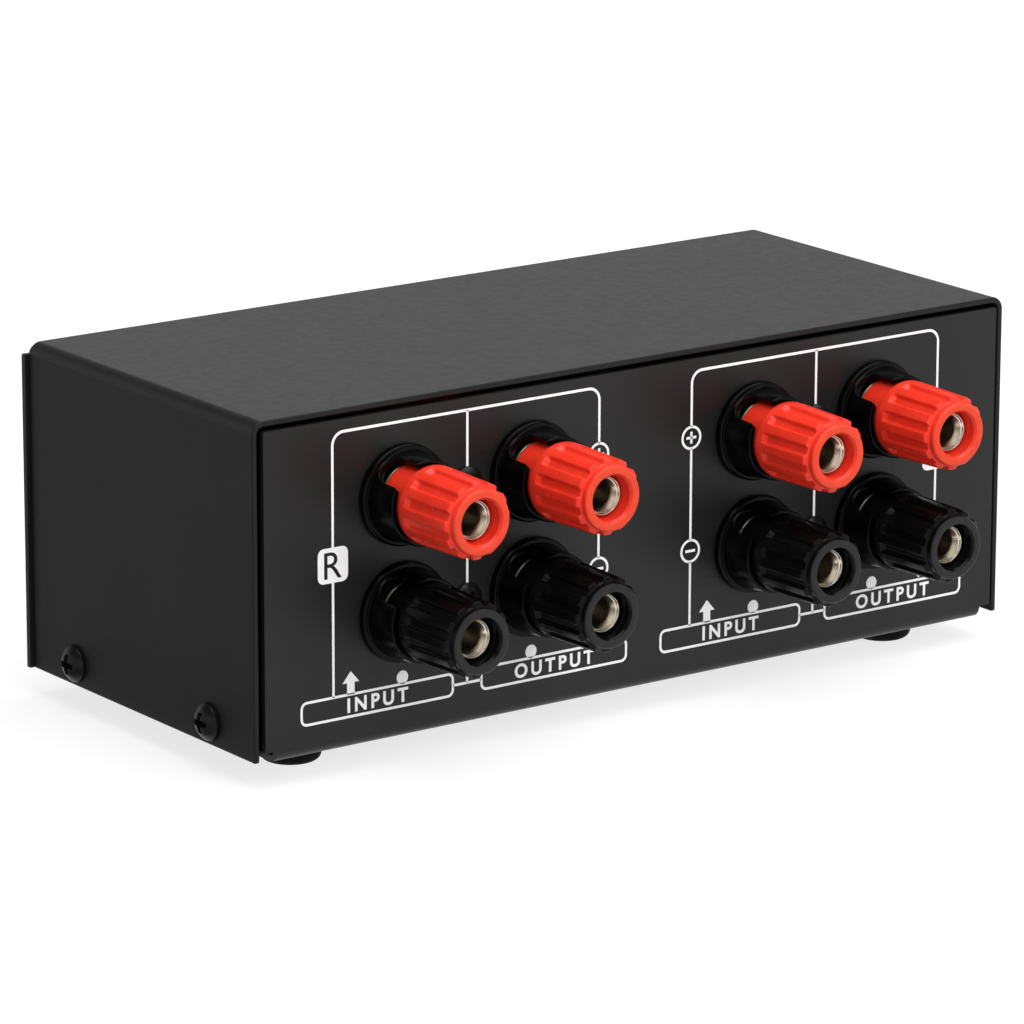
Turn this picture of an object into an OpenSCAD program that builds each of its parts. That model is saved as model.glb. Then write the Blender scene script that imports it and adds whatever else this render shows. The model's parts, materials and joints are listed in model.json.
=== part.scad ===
// Speaker volume control box: a two-channel attenuator in a folded steel case.
// Millimetres. +Z is up, the volume knob faces -Y and the binding posts face +Y.
// The origin is on the surface that the feet stand on, midway between the feet.

/* [Case] */
// Width of the top cover
cover_w = 137.6; // [125:0.1:180]
// Depth of the top cover
cover_d = 59.7; // [56:0.1:90]
// Height of the top cover
cover_h = 50; // [48:0.5:70]
// Thickness of the steel sheet
sheet_t = 0.9; // [0.7:0.1:1.4]
// Outer radius of the cover's top bends
cover_bend_r = 2; // [1.8:0.1:4]
// Outer radius of the chassis bends
chassis_bend_r = 1.9; // [1.6:0.1:3]
// Drop of the chassis floor below the cover's lower edge
floor_drop = 0.5; // [0.2:0.1:1.5]
// Side gap between the rear panel and the cover
panel_gap = 0.7; // [0.2:0.1:1]
// Gap between the rear panel's top and the cover
top_gap = 0.6; // [0.2:0.1:1.5]
// How far the rear panel stands behind the cover's rear edge
panel_proud = 0.4; // [0:0.1:1]
// How far the front wall reaches past each side of the cover
front_overlap = 0.6; // [0:0.1:2]
// Seam between the cover's front edge and the front wall
seam_gap = 0.1; // [0.05:0.05:0.4]
// Drop of the front wall's top below the cover's top
front_drop = 0.7; // [0.2:0.1:0.8]
// Drop of the front wall's side edges below its top
front_ear_drop = 1.1; // [0.5:0.1:3]
// Corner radius of the front wall's side edges, and the least one of the rear panel
front_corner_r = 0.3; // [0.2:0.1:0.6]
// Width of the bend relief at each lower corner of the rear panel
relief_w = 2; // [1:0.1:4]
// Height of the flanges folded up from the floor
flange_h = 9; // [7:0.5:14]
// Gap between a flange and the cover's side
flange_gap = 0.2; // [0.1:0.1:0.5]
// Setback of a flange's ends from the cover's edges
flange_setback = 5; // [4:0.5:9]

/* [Feet] */
// Diameter of a foot where it is stuck on
foot_d = 9.5; // [8:0.5:14]
// Height of a foot
foot_h = 3.8; // [2.5:0.1:8]
// Edge rounding of a foot
foot_edge_r = 1.2; // [0.6:0.1:2]
// Narrowing of a foot's radius towards the floor
foot_taper = 0.3; // [0.1:0.1:0.8]
// Distance of a foot's centre from the cover's side
foot_inset_x = 13.6; // [10:0.1:20]
// Distance of a foot's centre from the cover's front or rear edge
foot_inset_y = 11.2; // [9:0.1:16]

/* [Cover screws] */
// Thread diameter
cover_screw_d = 3; // [2.5:0.5:3.5]
// Head diameter
cover_screw_head_d = 5.6; // [5.2:0.1:7]
// Head height
cover_screw_head_h = 1.9; // [1.5:0.1:2.6]
// Length under the head
cover_screw_l = 6; // [4:0.5:10]
// Distance from the cover's front or rear edge
cover_screw_inset = 11.8; // [9:0.1:16]
// Height above the cover's lower edge
cover_screw_z = 3.5; // [3.4:0.1:4.5]

/* [Panel screws] */
// Thread diameter
panel_screw_d = 2.5; // [2:0.5:3]
// Head diameter
panel_screw_head_d = 4.8; // [4.2:0.1:5.4]
// Head height
panel_screw_head_h = 1.5; // [1.2:0.1:2]
// Nut width across flats
panel_nut_w = 5; // [4.6:0.1:5.8]
// Nut thickness
panel_nut_h = 2; // [1.4:0.1:2.6]

/* [Screw fits] */
// Width of a cross recess arm
recess_w = 0.8; // [0.5:0.1:1]
// Radial play of a screw in a clearance hole
screw_play = 0.2; // [0.1:0.05:0.3]
// Radial play of a screw in its thread
thread_play = 0.04; // [0.02:0.01:0.08]

/* [Post layout] */
// Distance of the outer posts from the cover's side
post_inset_x = 25.3; // [22:0.1:30]
// Spacing of the input and output columns
post_pitch_x = 22.9; // [20.5:0.1:25]
// Spacing of the red and black rows
post_pitch_z = 17.4; // [16.5:0.1:20]
// Height of the middle of the rows above the cover's mid-height
post_lift = 2.3; // [0:0.1:4]

/* [Post base] */
// Diameter of the base's flange
flange_d = 15; // [14.6:0.1:16]
// Thickness of the base's flange
base_flange_t = 1.2; // [1:0.1:2]
// Diameter of the cup at the flange
cup_foot_d = 13.5; // [13.2:0.1:14.2]
// Diameter of the cup at its rim
cup_rim_d = 12.7; // [12.4:0.1:13.1]
// Wall of the cup at its rim
cup_wall = 0.9; // [0.8:0.1:1.3]
// Height of the cup's rim above the panel
cup_h = 6.6; // [6:0.1:8]
// Width of the wire notch
notch_w = 4.5; // [3:0.1:5]
// Web left between the wire notch and the flange
notch_web = 0.3; // [0.2:0.1:0.8]
// Angle of the wire notch above the horizontal
notch_angle = 50; // [40:1:60]
// Diameter of the neck that passes through the panel
neck_d = 8.4; // [8:0.1:9.5]
// Radial play of the neck in its hole
neck_play = 0.1; // [0.05:0.05:0.3]

/* [Post cap] */
// Largest diameter of a cap
cap_rear_d = 11.7; // [11.5:0.1:12.4]
// Diameter over the ribs at the cap's front
cap_rib_front_d = 11.3; // [10.9:0.1:11.5]
// Diameter of the plain ring at the cap's front
cap_front_d = 10.2; // [9.8:0.1:10.4]
// Length of a cap without its skirt
cap_l = 12.5; // [11:0.1:14]
// Length of the plain band at the cap's rear
cap_band_l = 1.5; // [1:0.1:2.5]
// Length of the plain ring at the cap's front
cap_ring_l = 1.1; // [0.6:0.1:1.6]
// Number of flutes around a cap
flute_count = 12; // [8:1:16]
// Width of a flute
flute_w = 1.35; // [1:0.05:1.6]
// Diameter of the opening at the cap's front
mouth_d = 6.6; // [6.4:0.1:7.4]
// Diameter of the countersink around the opening
mouth_rim_d = 7.4; // [7.1:0.1:8.4]
// Depth of the wide part of the opening
mouth_l = 4; // [3:0.1:5]
// Gap between a cap and its cup's rim at rest
cap_gap = 0.6; // [0.6:0.1:1.5]
// Gap between a cap's skirt and its cup
skirt_gap = 0.3; // [0.2:0.05:0.5]
// Radial play of a cap on its stud
cap_play = 0.05; // [0.03:0.01:0.1]

/* [Post metal] */
// Thickness of a clamp washer
clamp_t = 0.5; // [0.4:0.1:1]
// Room under a clamp washer at rest
clamp_room = 0.55; // [0.5:0.05:1]
// Axial play between a clamp washer and its cap
clamp_play = 0.05; // [0.03:0.01:0.1]
// Outer diameter of a stud
stud_d = 5.9; // [5.6:0.1:6]
// Diameter of the plug socket in a stud
socket_d = 4; // [3.8:0.1:4.2]
// Depth of the plug socket
socket_l = 14; // [10:0.5:15]
// Chamfer of the socket's mouth
socket_chamfer = 0.7; // [0.3:0.1:0.8]
// How far a stud's end lies inside its cap
stud_recess = 2.1; // [1:0.1:3]
// Diameter of a stud's shoulder
shoulder_d = 7.6; // [7:0.1:8]
// Thickness of a stud's shoulder
shoulder_t = 0.6; // [0.4:0.1:0.8]
// Thread left past a post nut
stud_tail = 1.6; // [0.5:0.1:4]
// Nut width across flats
post_nut_w = 10; // [9:0.5:11]
// Nut thickness
post_nut_h = 3; // [2:0.5:5]

/* [Terminal boards] */
// Thickness of a board
board_t = 1.6; // [1.2:0.2:2.4]
// Margin of a board around its post holes' centres
board_margin = 7.5; // [6.5:0.5:8]
// Thickness of tags and straps
tag_t = 0.8; // [0.5:0.1:1.2]
// Diameter of a tag's ring
tag_ring_d = 10; // [9:0.5:11]
// Width of a tag's tail
tag_tail_w = 4; // [3:0.5:5]
// Distance of a tag's wire hole from its post
tag_reach = 8; // [7.5:0.5:9]
// Diameter of a tag's wire hole
tag_hole_d = 1.6; // [1:0.1:2]
// Gap between a common strap and a panel nut
strap_gap = 0.5; // [0.3:0.1:1]

/* [Volume pad] */
// Height of the shaft above the cover's mid-height
pad_lift = 0; // [-1:0.5:3]
// Outer diameter of a gang's housing
pad_d = 36; // [32:0.5:38]
// Length of one gang
gang_l = 13; // [11:0.5:16]
// Wall of a housing
housing_wall = 1.6; // [1.2:0.1:2]
// Thickness of a housing's front disc
housing_disc_t = 2; // [1.5:0.1:3]
// Thickness of the back plate
back_plate_t = 1.6; // [1:0.1:2.5]
// Thickness of a winding
winding_t = 2; // [1.2:0.1:3]
// Length of a winding along the shaft
winding_l = 8; // [5:0.5:8.5]
// Angle that a winding covers
winding_angle = 300; // [270:5:320]
// Radial play of a winding in its housing
winding_play = 0.1; // [0.05:0.05:0.3]
// Play between a wiper and its winding
wiper_gap = 0.15; // [0.1:0.05:0.3]
// Diameter of a wiper's hub
wiper_hub_d = 11; // [9:0.5:14]
// Length of a wiper along the shaft
wiper_l = 4; // [3:0.5:5]
// Width of a wiper's arm
wiper_arm_w = 4; // [3:0.5:6]
// Distance of a tie bolt's axis outside the housing's wall
tie_offset = 2.4; // [2.2:0.1:3]
// Diameter of a tie bolt
tie_d = 3; // [2.5:0.5:3.5]
// Diameter of the ears around the tie bolts
ear_d = 7; // [6.8:0.2:8]
// Width of a pad terminal
tab_w = 4; // [3:0.5:5]
// Thickness of a pad terminal
tab_t = 0.8; // [0.5:0.1:1.2]
// Reach of a pad terminal from the housing
tab_l = 7; // [5:0.5:9]
// Play of a pad terminal in its slot
tab_play = 0.05; // [0.03:0.01:0.15]
// Angle between the pad terminals
tab_angle = 30; // [24:1:40]

/* [Shaft and bush] */
// Diameter of the shaft
shaft_d = 6; // [5:0.5:6.5]
// Radial play of the shaft in its bearings
shaft_play = 0.05; // [0.02:0.01:0.1]
// Depth of the flat on the shaft's end
shaft_flat = 0.7; // [0.4:0.1:1.2]
// Thread diameter of the bush
bush_d = 9.5; // [9:0.5:11]
// Length of the bush in front of the wall
bush_l = 8; // [6:0.5:9]
// Diameter of the bush's flange
bush_flange_d = 14; // [13:0.5:18]
// Thickness of the bush's flange
bush_flange_t = 1.5; // [1:0.1:2.5]
// Width of the bush nut across flats
bush_nut_w = 13; // [12:0.5:15]
// Thickness of the bush nut
bush_nut_h = 2.4; // [1.6:0.1:3]
// Outer diameter of the lock washer
lock_washer_d = 15; // [14:0.5:18]
// Thickness of the lock washer
lock_washer_t = 0.6; // [0.4:0.1:1]
// Diameter of the locating pin
pin_d = 2.6; // [2:0.1:3.5]
// Distance of the locating pin from the shaft
pin_r = 12; // [11:0.5:14]
// Diameter of the retaining clip
clip_d = 9.4; // [8:0.2:12]
// Thickness of the retaining clip
clip_t = 0.8; // [0.5:0.1:1.2]

/* [Knob] */
// Diameter of the knob at its skirt
knob_d = 30; // [28:0.5:34]
// Diameter of the knob at its face
knob_face_d = 28; // [26:0.5:28]
// Height of the knob
knob_h = 18.5; // [16:0.5:22]
// Gap between the knob and the front wall
knob_gap = 0.6; // [0.4:0.1:1.2]
// Wall of the knob's skirt
knob_wall = 3; // [2:0.5:4]
// Depth of the hollow in the knob's back
knob_hollow_l = 9.5; // [9.2:0.1:11]
// Depth of the shaft's seat in the knob
knob_seat_l = 5; // [4:0.5:6]
// Edge rounding of the knob's face
knob_edge_r = 1; // [0.5:0.1:2]
// Number of grip grooves
groove_count = 30; // [16:2:36]
// Diameter of a grip groove
groove_d = 1.6; // [1:0.1:2]
// Diameter of the set screw
set_screw_d = 3; // [2.5:0.5:4]
// Length of the set screw
set_screw_l = 6; // [4:0.5:8]
// Width of the index groove
index_w = 1.4; // [1:0.1:2]
// Depth of the index groove
index_depth = 0.5; // [0.3:0.1:0.8]

/* [Wires] */
// Diameter of a hook-up wire
wire_d = 2; // [1.4:0.1:2.4]
// Gap left for solder at a wire's end
solder_gap = 0.05; // [0.02:0.01:0.1]
// How far a wire heads straight on from each end
wire_lead = 14; // [8:1:18]
// Straight length at each end of a wire
wire_stub = 1; // [0.5:0.1:1.5]
// Sideways place of the outer wires' bows
outer_bow_x = 42; // [38:1:45]
// Sideways place of the inner wires' bows
inner_bow_x = 24; // [22:1:28]
// Place of the bows behind the cover's middle
bow_y = 3; // [1:1:5]
// Drop of the outer red wires' bows below their tags
outer_bow_drop = 6; // [4:1:9]
// Drop of the inner red wires' bows below their tags
inner_bow_drop = 2; // [1:1:5]
// Drop of the black wires' bows below the strap tails
common_bow_drop = 3; // [1:1:4]

/* [Hidden] */
$fn = 64;
eps = 0.01;

// Heights and depths that the pieces share
cover_low = foot_h + floor_drop;
cover_top = cover_low + cover_h;
panel_top = cover_top - sheet_t - top_gap;
front_top = cover_top - front_drop;
front_back_y = -cover_d / 2 - seam_gap;
front_face_y = front_back_y - sheet_t;
panel_y = cover_d / 2 + panel_proud;
panel_half_w = cover_w / 2 - sheet_t - panel_gap;
panel_corner_r = max(front_corner_r, cover_bend_r - sheet_t - 2 * min(panel_gap, top_gap));
front_half_w = cover_w / 2 + front_overlap;
flange_half_w = cover_w / 2 - sheet_t - flange_gap;

// Places on the walls: heights above the cover's lower edge, and a channel's centre from the middle
post_mid_z = cover_h / 2 + post_lift;
pad_z = cover_h / 2 + pad_lift;
channel_x = cover_w / 2 - post_inset_x - post_pitch_x / 2;

// Post sizes along the post's own axis, counted from the panel's outer face
inside_t = sheet_t + board_t;
shoulder_low = base_flange_t - shoulder_t;
clamp_low = base_flange_t + clamp_room;
skirt_low = clamp_low + clamp_t + clamp_play;
cap_low = cup_h + cap_gap;
cap_top = cap_low + cap_l;
stud_top = cap_top - stud_recess;
cup_inner_r = cup_rim_d / 2 - cup_wall;
skirt_r = cup_inner_r - skirt_gap;
tag_top = -inside_t;
nut_top = tag_top - tag_t;
stud_low = nut_top - post_nut_h - stud_tail;
stud_hole_r = stud_d / 2 + thread_play;

// Volume pad sizes along the shaft, counted forwards from the front wall's back
gang_top = [-bush_flange_t, -bush_flange_t - gang_l];
pad_low = -bush_flange_t - 2 * gang_l;
shaft_hole_r = shaft_d / 2 + shaft_play;
housing_inner_r = pad_d / 2 - housing_wall;
winding_r = housing_inner_r - winding_play;
cavity_mid = -housing_disc_t - (gang_l - housing_disc_t) / 2;
knob_low = sheet_t + knob_gap;
knob_seat = knob_low + knob_hollow_l;
shaft_top = knob_seat + knob_seat_l;
clip_top = pad_low - back_plate_t - shaft_play - clip_t / 2;
shaft_low = clip_top - 2 * clip_t;
clip_groove_r = shaft_d / 2 - clip_t;
set_screw_z = knob_seat + knob_seat_l / 2;
tab_r = pad_d / 2 + tab_l / 2 + tab_w / 4;
tie_r = pad_d / 2 + tie_offset;
tie_angles = [50, 230];

// Points that the right side's wires bow towards; the left side's are their mirror images
outer_bow = [outer_bow_x, bow_y, tag_z(1) - outer_bow_drop];
inner_bow = [inner_bow_x, bow_y, tag_z(1) - inner_bow_drop];
common_bow = [inner_bow_x, bow_y, tag_z(-1) - common_bow_drop];

// Corner directions that symmetric pieces repeat in
corners = [[1, 1], [1, -1], [-1, 1], [-1, -1]];

// Each post: name, channel (1 right, -1 left), column (1 input, -1 output), row (1 red, -1 black)
posts = [
    ["right_in_plus", 1, 1, 1], ["right_in_minus", 1, 1, -1],
    ["right_out_plus", 1, -1, 1], ["right_out_minus", 1, -1, -1],
    ["left_in_plus", -1, 1, 1], ["left_in_minus", -1, 1, -1],
    ["left_out_plus", -1, -1, 1], ["left_out_minus", -1, -1, -1]
];

steel_black = [0.16, 0.16, 0.165];
screw_black = [0.08, 0.08, 0.085];
plastic_black = [0.05, 0.05, 0.055];
cap_red = [0.85, 0.16, 0.1];
nickel = [0.78, 0.77, 0.73];
brass = [0.78, 0.63, 0.32];
board_brown = [0.45, 0.3, 0.16];
phenolic = [0.2, 0.13, 0.09];
wire_copper = [0.55, 0.32, 0.18];
rubber_black = [0.04, 0.04, 0.04];

function post_x(post) = post[1] * channel_x + post[2] * post_pitch_x / 2;
function post_z(row) = cover_low + post_mid_z + row * post_pitch_z / 2;
function tag_z(row) = post_z(row) + row * tag_reach;
function post_color(post) = post[3] > 0 ? cap_red : plastic_black;

// The column of a channel that lies nearer the middle of the panel
function inner_column(channel) = -channel;

// Point at fraction t of a smooth curve: neighbouring control points are blended until one is left
function blend(points, t) = len(points) == 1
    ? points[0]
    : blend([for (i = [0:len(points) - 2]) points[i] * (1 - t) + points[i + 1] * t], t);

function unit(v) = v / norm(v);

// One closed tube along a path that never runs straight up
module tube(path, d, sides = 8) {
    last = len(path) - 1;
    rings = [for (i = [0:last])
        let (ahead = unit(path[min(i + 1, last)] - path[max(i - 1, 0)]),
             side = unit(cross(ahead, [0, 0, 1])),
             up = cross(side, ahead))
        for (k = [0:sides - 1])
            path[i] + d / 2 * (cos(360 * k / sides) * side + sin(360 * k / sides) * up)];
    walls = [for (i = [0:last - 1], k = [0:sides - 1])
        let (a = i * sides + k, b = i * sides + (k + 1) % sides)
        each [[a, b, b + sides], [a, b + sides, a + sides]]];
    first_end = [for (k = [sides - 1:-1:0]) k];
    last_end = [for (k = [0:sides - 1]) last * sides + k];
    polyhedron(rings, concat(walls, [first_end, last_end]));
}

// Rectangle standing on the x axis with its two upper corners rounded
module arch(w, h, r) {
    translate([-w / 2, 0])
        square([w, h - r]);
    translate([-w / 2 + r, 0])
        square([w - 2 * r, h]);
    for (side = [-1, 1])
        translate([side * (w / 2 - r), h - r])
            circle(r);
}

// Section of a sheet folded into an upside-down U
module folded_sheet(w, h, r) {
    difference() {
        arch(w, h, r);
        translate([0, -eps])
            arch(w - 2 * sheet_t, h - sheet_t + eps, r - sheet_t);
    }
}

// Places what is drawn along +Z on a post's axis, with z = 0 on the panel's outer face
module on_post(x, row) {
    translate([x, panel_y, post_z(row)])
        rotate([-90, 0, 0])
            children();
}

// Places what is drawn along +Z on the shaft's axis, with z = 0 on the front wall's back
module on_shaft() {
    translate([0, front_back_y, cover_low + pad_z])
        rotate([90, 0, 0])
            children();
}

// Places children at each tie bolt's axis
module at_ties() {
    for (angle = tie_angles)
        rotate(angle)
            translate([tie_r, 0])
                children();
}

// Pan head along +Z, seated at z = 0, with a cross recess
module pan_head(d, h) {
    rim_h = h / 2;
    dome_r = (pow(d / 2, 2) + pow(h - rim_h, 2)) / (2 * (h - rim_h));
    recess_l = d * 0.55;
    difference() {
        rotate_extrude()
            intersection() {
                square([d / 2, h]);
                translate([0, h - dome_r])
                    circle(dome_r);
            }
        for (turn = [0, 90])
            rotate(turn)
                translate([-recess_l / 2, -recess_w / 2, h * 0.4])
                    cube([recess_l, recess_w, h]);
    }
}

module pan_screw(d, head_d, head_h, length) {
    pan_head(head_d, head_h);
    translate([0, 0, -length])
        cylinder(d = d, h = length + eps);
}

module hex_nut(w, h, hole_r) {
    difference() {
        cylinder(d = w / cos(30), h = h, $fn = 6);
        translate([0, 0, -eps])
            cylinder(r = hole_r, h = h + 2 * eps);
    }
}

module washer(outer_d, hole_r, t) {
    difference() {
        cylinder(d = outer_d, h = t);
        translate([0, 0, -eps])
            cylinder(r = hole_r, h = t + 2 * eps);
    }
}

// Places children on each cover screw's axis, with +Z pointing out of the cover's side
module at_cover_screws() {
    for (corner = corners)
        translate([
            corner[0] * cover_w / 2,
            corner[1] * (cover_d / 2 - cover_screw_inset),
            cover_low + cover_screw_z
        ])
            rotate([0, corner[0] * 90, 0])
                children();
}

// Places children on each panel screw's axis
module at_panel_screws() {
    for (channel = [1, -1], row = [1, -1])
        on_post(channel * channel_x, row)
            children();
}

module top_cover() {
    color(steel_black)
        difference() {
            translate([0, 0, cover_low])
                rotate([90, 0, 0])
                    linear_extrude(cover_d, center = true)
                        folded_sheet(cover_w, cover_h, cover_bend_r);
            at_cover_screws()
                translate([0, 0, -2 * sheet_t])
                    cylinder(r = cover_screw_d / 2 + screw_play, h = 3 * sheet_t);
        }
}

// A chassis wall as a plate with rounded upper corners, whose rear face is at far_y
module wall_plate(half_w, low, high, far_y, corner_r) {
    translate([0, far_y, low])
        rotate([90, 0, 0])
            linear_extrude(sheet_t)
                arch(2 * half_w, high - low, corner_r);
}

module chassis() {
    bend_high = foot_h + 2 * chassis_bend_r;
    collar_l = 2 * sheet_t;
    cut_l = 4 * sheet_t;
    color(steel_black)
        difference() {
            union() {
                translate([0, (panel_y + front_face_y) / 2, bend_high])
                    rotate([-90, 0, 90])
                        linear_extrude(2 * (panel_half_w - relief_w), center = true)
                            folded_sheet(panel_y - front_face_y, bend_high - foot_h, chassis_bend_r);
                translate([0, 0, foot_h + flange_h])
                    rotate([-90, 0, 0])
                        linear_extrude(cover_d - 2 * flange_setback, center = true)
                            folded_sheet(2 * flange_half_w, flange_h, chassis_bend_r);
                wall_plate(panel_half_w, foot_h + chassis_bend_r, panel_top, panel_y, panel_corner_r);
                wall_plate(cover_w / 2 - front_drop, cover_low, front_top, front_back_y,
                           cover_bend_r - front_drop);
                wall_plate(front_half_w, cover_low, front_top - front_ear_drop, front_back_y,
                           front_corner_r);
                at_cover_screws()
                    translate([0, 0, flange_half_w - cover_w / 2 - collar_l])
                        cylinder(r = cover_screw_d / 2 + sheet_t, h = collar_l);
            }
            at_cover_screws()
                translate([0, 0, -cut_l])
                    cylinder(r = cover_screw_d / 2 + thread_play, h = cut_l);
            for (post = posts)
                on_post(post_x(post), post[3])
                    cylinder(r = neck_d / 2 + neck_play, h = cut_l, center = true);
            at_panel_screws()
                cylinder(r = panel_screw_d / 2 + screw_play, h = cut_l, center = true);
            on_shaft() {
                cylinder(r = bush_d / 2 + neck_play, h = cut_l, center = true);
                translate([0, -pin_r, 0])
                    cylinder(r = pin_d / 2 + neck_play, h = cut_l, center = true);
            }
        }
}

module cover_screws() {
    color(screw_black)
        at_cover_screws()
            pan_screw(cover_screw_d, cover_screw_head_d, cover_screw_head_h, cover_screw_l);
}

module rubber_feet() {
    low_r = foot_d / 2 - foot_taper;
    foot_x = cover_w / 2 - foot_inset_x;
    foot_y = cover_d / 2 - foot_inset_y;
    color(rubber_black)
        for (corner = corners)
            translate([corner[0] * foot_x, corner[1] * foot_y, 0]) {
                translate([0, 0, foot_edge_r])
                    cylinder(r1 = low_r, r2 = foot_d / 2, h = foot_h - foot_edge_r);
                cylinder(r = low_r - foot_edge_r, h = foot_edge_r + eps);
                rotate_extrude()
                    translate([low_r - foot_edge_r, foot_edge_r])
                        circle(foot_edge_r);
            }
}

module panel_screws() {
    length = inside_t + panel_nut_h + sheet_t;
    color(screw_black)
        at_panel_screws()
            pan_screw(panel_screw_d, panel_screw_head_d, panel_screw_head_h, length);
}

module panel_nuts() {
    color(nickel)
        at_panel_screws()
            translate([0, 0, -inside_t - panel_nut_h])
                hex_nut(panel_nut_w, panel_nut_h, panel_screw_d / 2 + thread_play);
}

// One insulating board for each channel's four posts, flat against the inside of the rear panel
module terminal_boards() {
    board_w = post_pitch_x + 2 * board_margin;
    board_h = post_pitch_z + 2 * board_margin;
    color(board_brown)
        for (channel = [1, -1])
            difference() {
                translate([channel * channel_x, panel_y - sheet_t - board_t / 2, cover_low + post_mid_z])
                    cube([board_w, board_t, board_h], center = true);
                for (post = posts)
                    if (post[1] == channel)
                        on_post(post_x(post), post[3])
                            translate([0, 0, -inside_t - eps])
                                cylinder(r = neck_d / 2 + neck_play, h = inside_t);
                at_panel_screws()
                    translate([0, 0, -inside_t - eps])
                        cylinder(r = panel_screw_d / 2 + screw_play, h = inside_t);
            }
}

// Cup with a flange outside the panel, a neck through it and two wire notches opposite each other
module post_base(post) {
    notch_low = base_flange_t + notch_web;
    color(plastic_black)
        on_post(post_x(post), post[3])
            difference() {
                union() {
                    cylinder(d = flange_d, h = base_flange_t);
                    translate([0, 0, base_flange_t])
                        cylinder(d1 = cup_foot_d, d2 = cup_rim_d, h = cup_h - base_flange_t);
                    translate([0, 0, neck_play - inside_t])
                        cylinder(d = neck_d, h = inside_t);
                }
                translate([0, 0, base_flange_t])
                    cylinder(r = cup_inner_r, h = cup_h);
                translate([0, 0, shoulder_low])
                    cylinder(r = shoulder_d / 2 + thread_play, h = cup_h);
                translate([0, 0, -2 * inside_t])
                    cylinder(r = stud_hole_r, h = 2 * inside_t + cup_h);
                rotate(-notch_angle)
                    translate([0, 0, notch_low + notch_w / 2]) {
                        rotate([0, 90, 0])
                            cylinder(d = notch_w, h = flange_d + 2, center = true);
                        translate([-flange_d / 2 - 1, -notch_w / 2, 0])
                            cube([flange_d + 2, notch_w, cup_h]);
                    }
            }
}

// Hollow threaded stud with a plug socket in its outer end and a shoulder in the base
module post_stud(post) {
    chamfer_l = socket_chamfer + eps;
    color(nickel)
        on_post(post_x(post), post[3])
            difference() {
                union() {
                    translate([0, 0, stud_low])
                        cylinder(d = stud_d, h = stud_top - stud_low);
                    translate([0, 0, shoulder_low])
                        cylinder(d = shoulder_d, h = shoulder_t);
                }
                translate([0, 0, stud_top - socket_l])
                    cylinder(d = socket_d, h = socket_l + eps);
                translate([0, 0, stud_top - socket_chamfer])
                    cylinder(d1 = socket_d, d2 = socket_d + 2 * chamfer_l, h = chamfer_l);
            }
}

module clamp_washer(post) {
    color(nickel)
        on_post(post_x(post), post[3])
            translate([0, 0, clamp_low])
                washer(2 * skirt_r, stud_d / 2 + cap_play, clamp_t);
}

// Fluted screw cap with a skirt that reaches down into the cup
module post_cap(post) {
    rib_low = cap_low + cap_band_l;
    rib_high = cap_top - cap_ring_l;
    rib_l = rib_high - rib_low;
    slope = atan((cap_rear_d - cap_rib_front_d) / 2 / rib_l);
    flute_r = cap_rear_d / 2 - (cap_rib_front_d - cap_front_d) / 2;
    rim_l = (mouth_rim_d - mouth_d) / 2;
    color(post_color(post))
        on_post(post_x(post), post[3])
            difference() {
                union() {
                    translate([0, 0, skirt_low])
                        cylinder(r = skirt_r, h = cap_low - skirt_low + eps);
                    translate([0, 0, cap_low])
                        cylinder(d = cap_rear_d, h = cap_band_l);
                    difference() {
                        translate([0, 0, rib_low])
                            cylinder(d1 = cap_rear_d, d2 = cap_rib_front_d, h = rib_l);
                        for (i = [0:flute_count - 1])
                            rotate((i + 0.5) * 360 / flute_count)
                                translate([flute_r, -flute_w / 2, rib_low])
                                    rotate([0, -slope, 0])
                                        cube([cap_rear_d, flute_w, 2 * rib_l]);
                    }
                    translate([0, 0, rib_high - eps])
                        cylinder(d = cap_front_d, h = cap_ring_l + eps);
                }
                translate([0, 0, skirt_low - 1])
                    cylinder(r = stud_d / 2 + cap_play, h = cap_top - skirt_low + 2);
                translate([0, 0, cap_top - mouth_l])
                    cylinder(d = mouth_d, h = mouth_l + 1);
                translate([0, 0, cap_top - rim_l])
                    cylinder(d1 = mouth_d, d2 = mouth_rim_d + 2 * eps, h = rim_l + eps);
            }
}

module post_nuts() {
    color(nickel)
        for (post = posts)
            on_post(post_x(post), post[3])
                translate([0, 0, nut_top - post_nut_h])
                    hex_nut(post_nut_w, post_nut_h, stud_hole_r);
}

// Flat ring for a stud, with a tail that has a wire hole; side 1 points the tail up
module tag_blank(side) {
    circle(d = tag_ring_d);
    translate([-tag_tail_w / 2, side > 0 ? -tag_reach : 0])
        square([tag_tail_w, tag_reach]);
    translate([0, -side * tag_reach])
        circle(d = tag_tail_w);
}

module tag_holes(side) {
    circle(r = stud_hole_r);
    translate([0, -side * tag_reach])
        circle(d = tag_hole_d);
}

module solder_tags() {
    color(brass)
        for (post = posts)
            if (post[3] > 0)
                on_post(post_x(post), 1)
                    translate([0, 0, nut_top])
                        linear_extrude(tag_t)
                            difference() {
                                tag_blank(1);
                                tag_holes(1);
                            }
}

// One strap joins each channel's two black posts below the panel nut, with its wire tail at the inner one
module common_straps() {
    bar_y = panel_nut_w / cos(30) / 2 + strap_gap + tag_tail_w / 2;
    color(brass)
        for (channel = [1, -1])
            on_post(channel * channel_x + inner_column(channel) * post_pitch_x / 2, -1)
                translate([0, 0, nut_top])
                    linear_extrude(tag_t)
                        difference() {
                            union() {
                                tag_blank(-1);
                                translate([channel * post_pitch_x / 2, bar_y])
                                    square([post_pitch_x, tag_tail_w], center = true);
                                translate([channel * post_pitch_x, 0]) {
                                    circle(d = tag_ring_d);
                                    translate([-tag_tail_w / 2, 0])
                                        square([tag_tail_w, bar_y]);
                                    translate([0, bar_y])
                                        circle(d = tag_tail_w);
                                }
                            }
                            tag_holes(-1);
                            translate([channel * post_pitch_x, 0])
                                circle(r = stud_hole_r);
                        }
}

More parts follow.
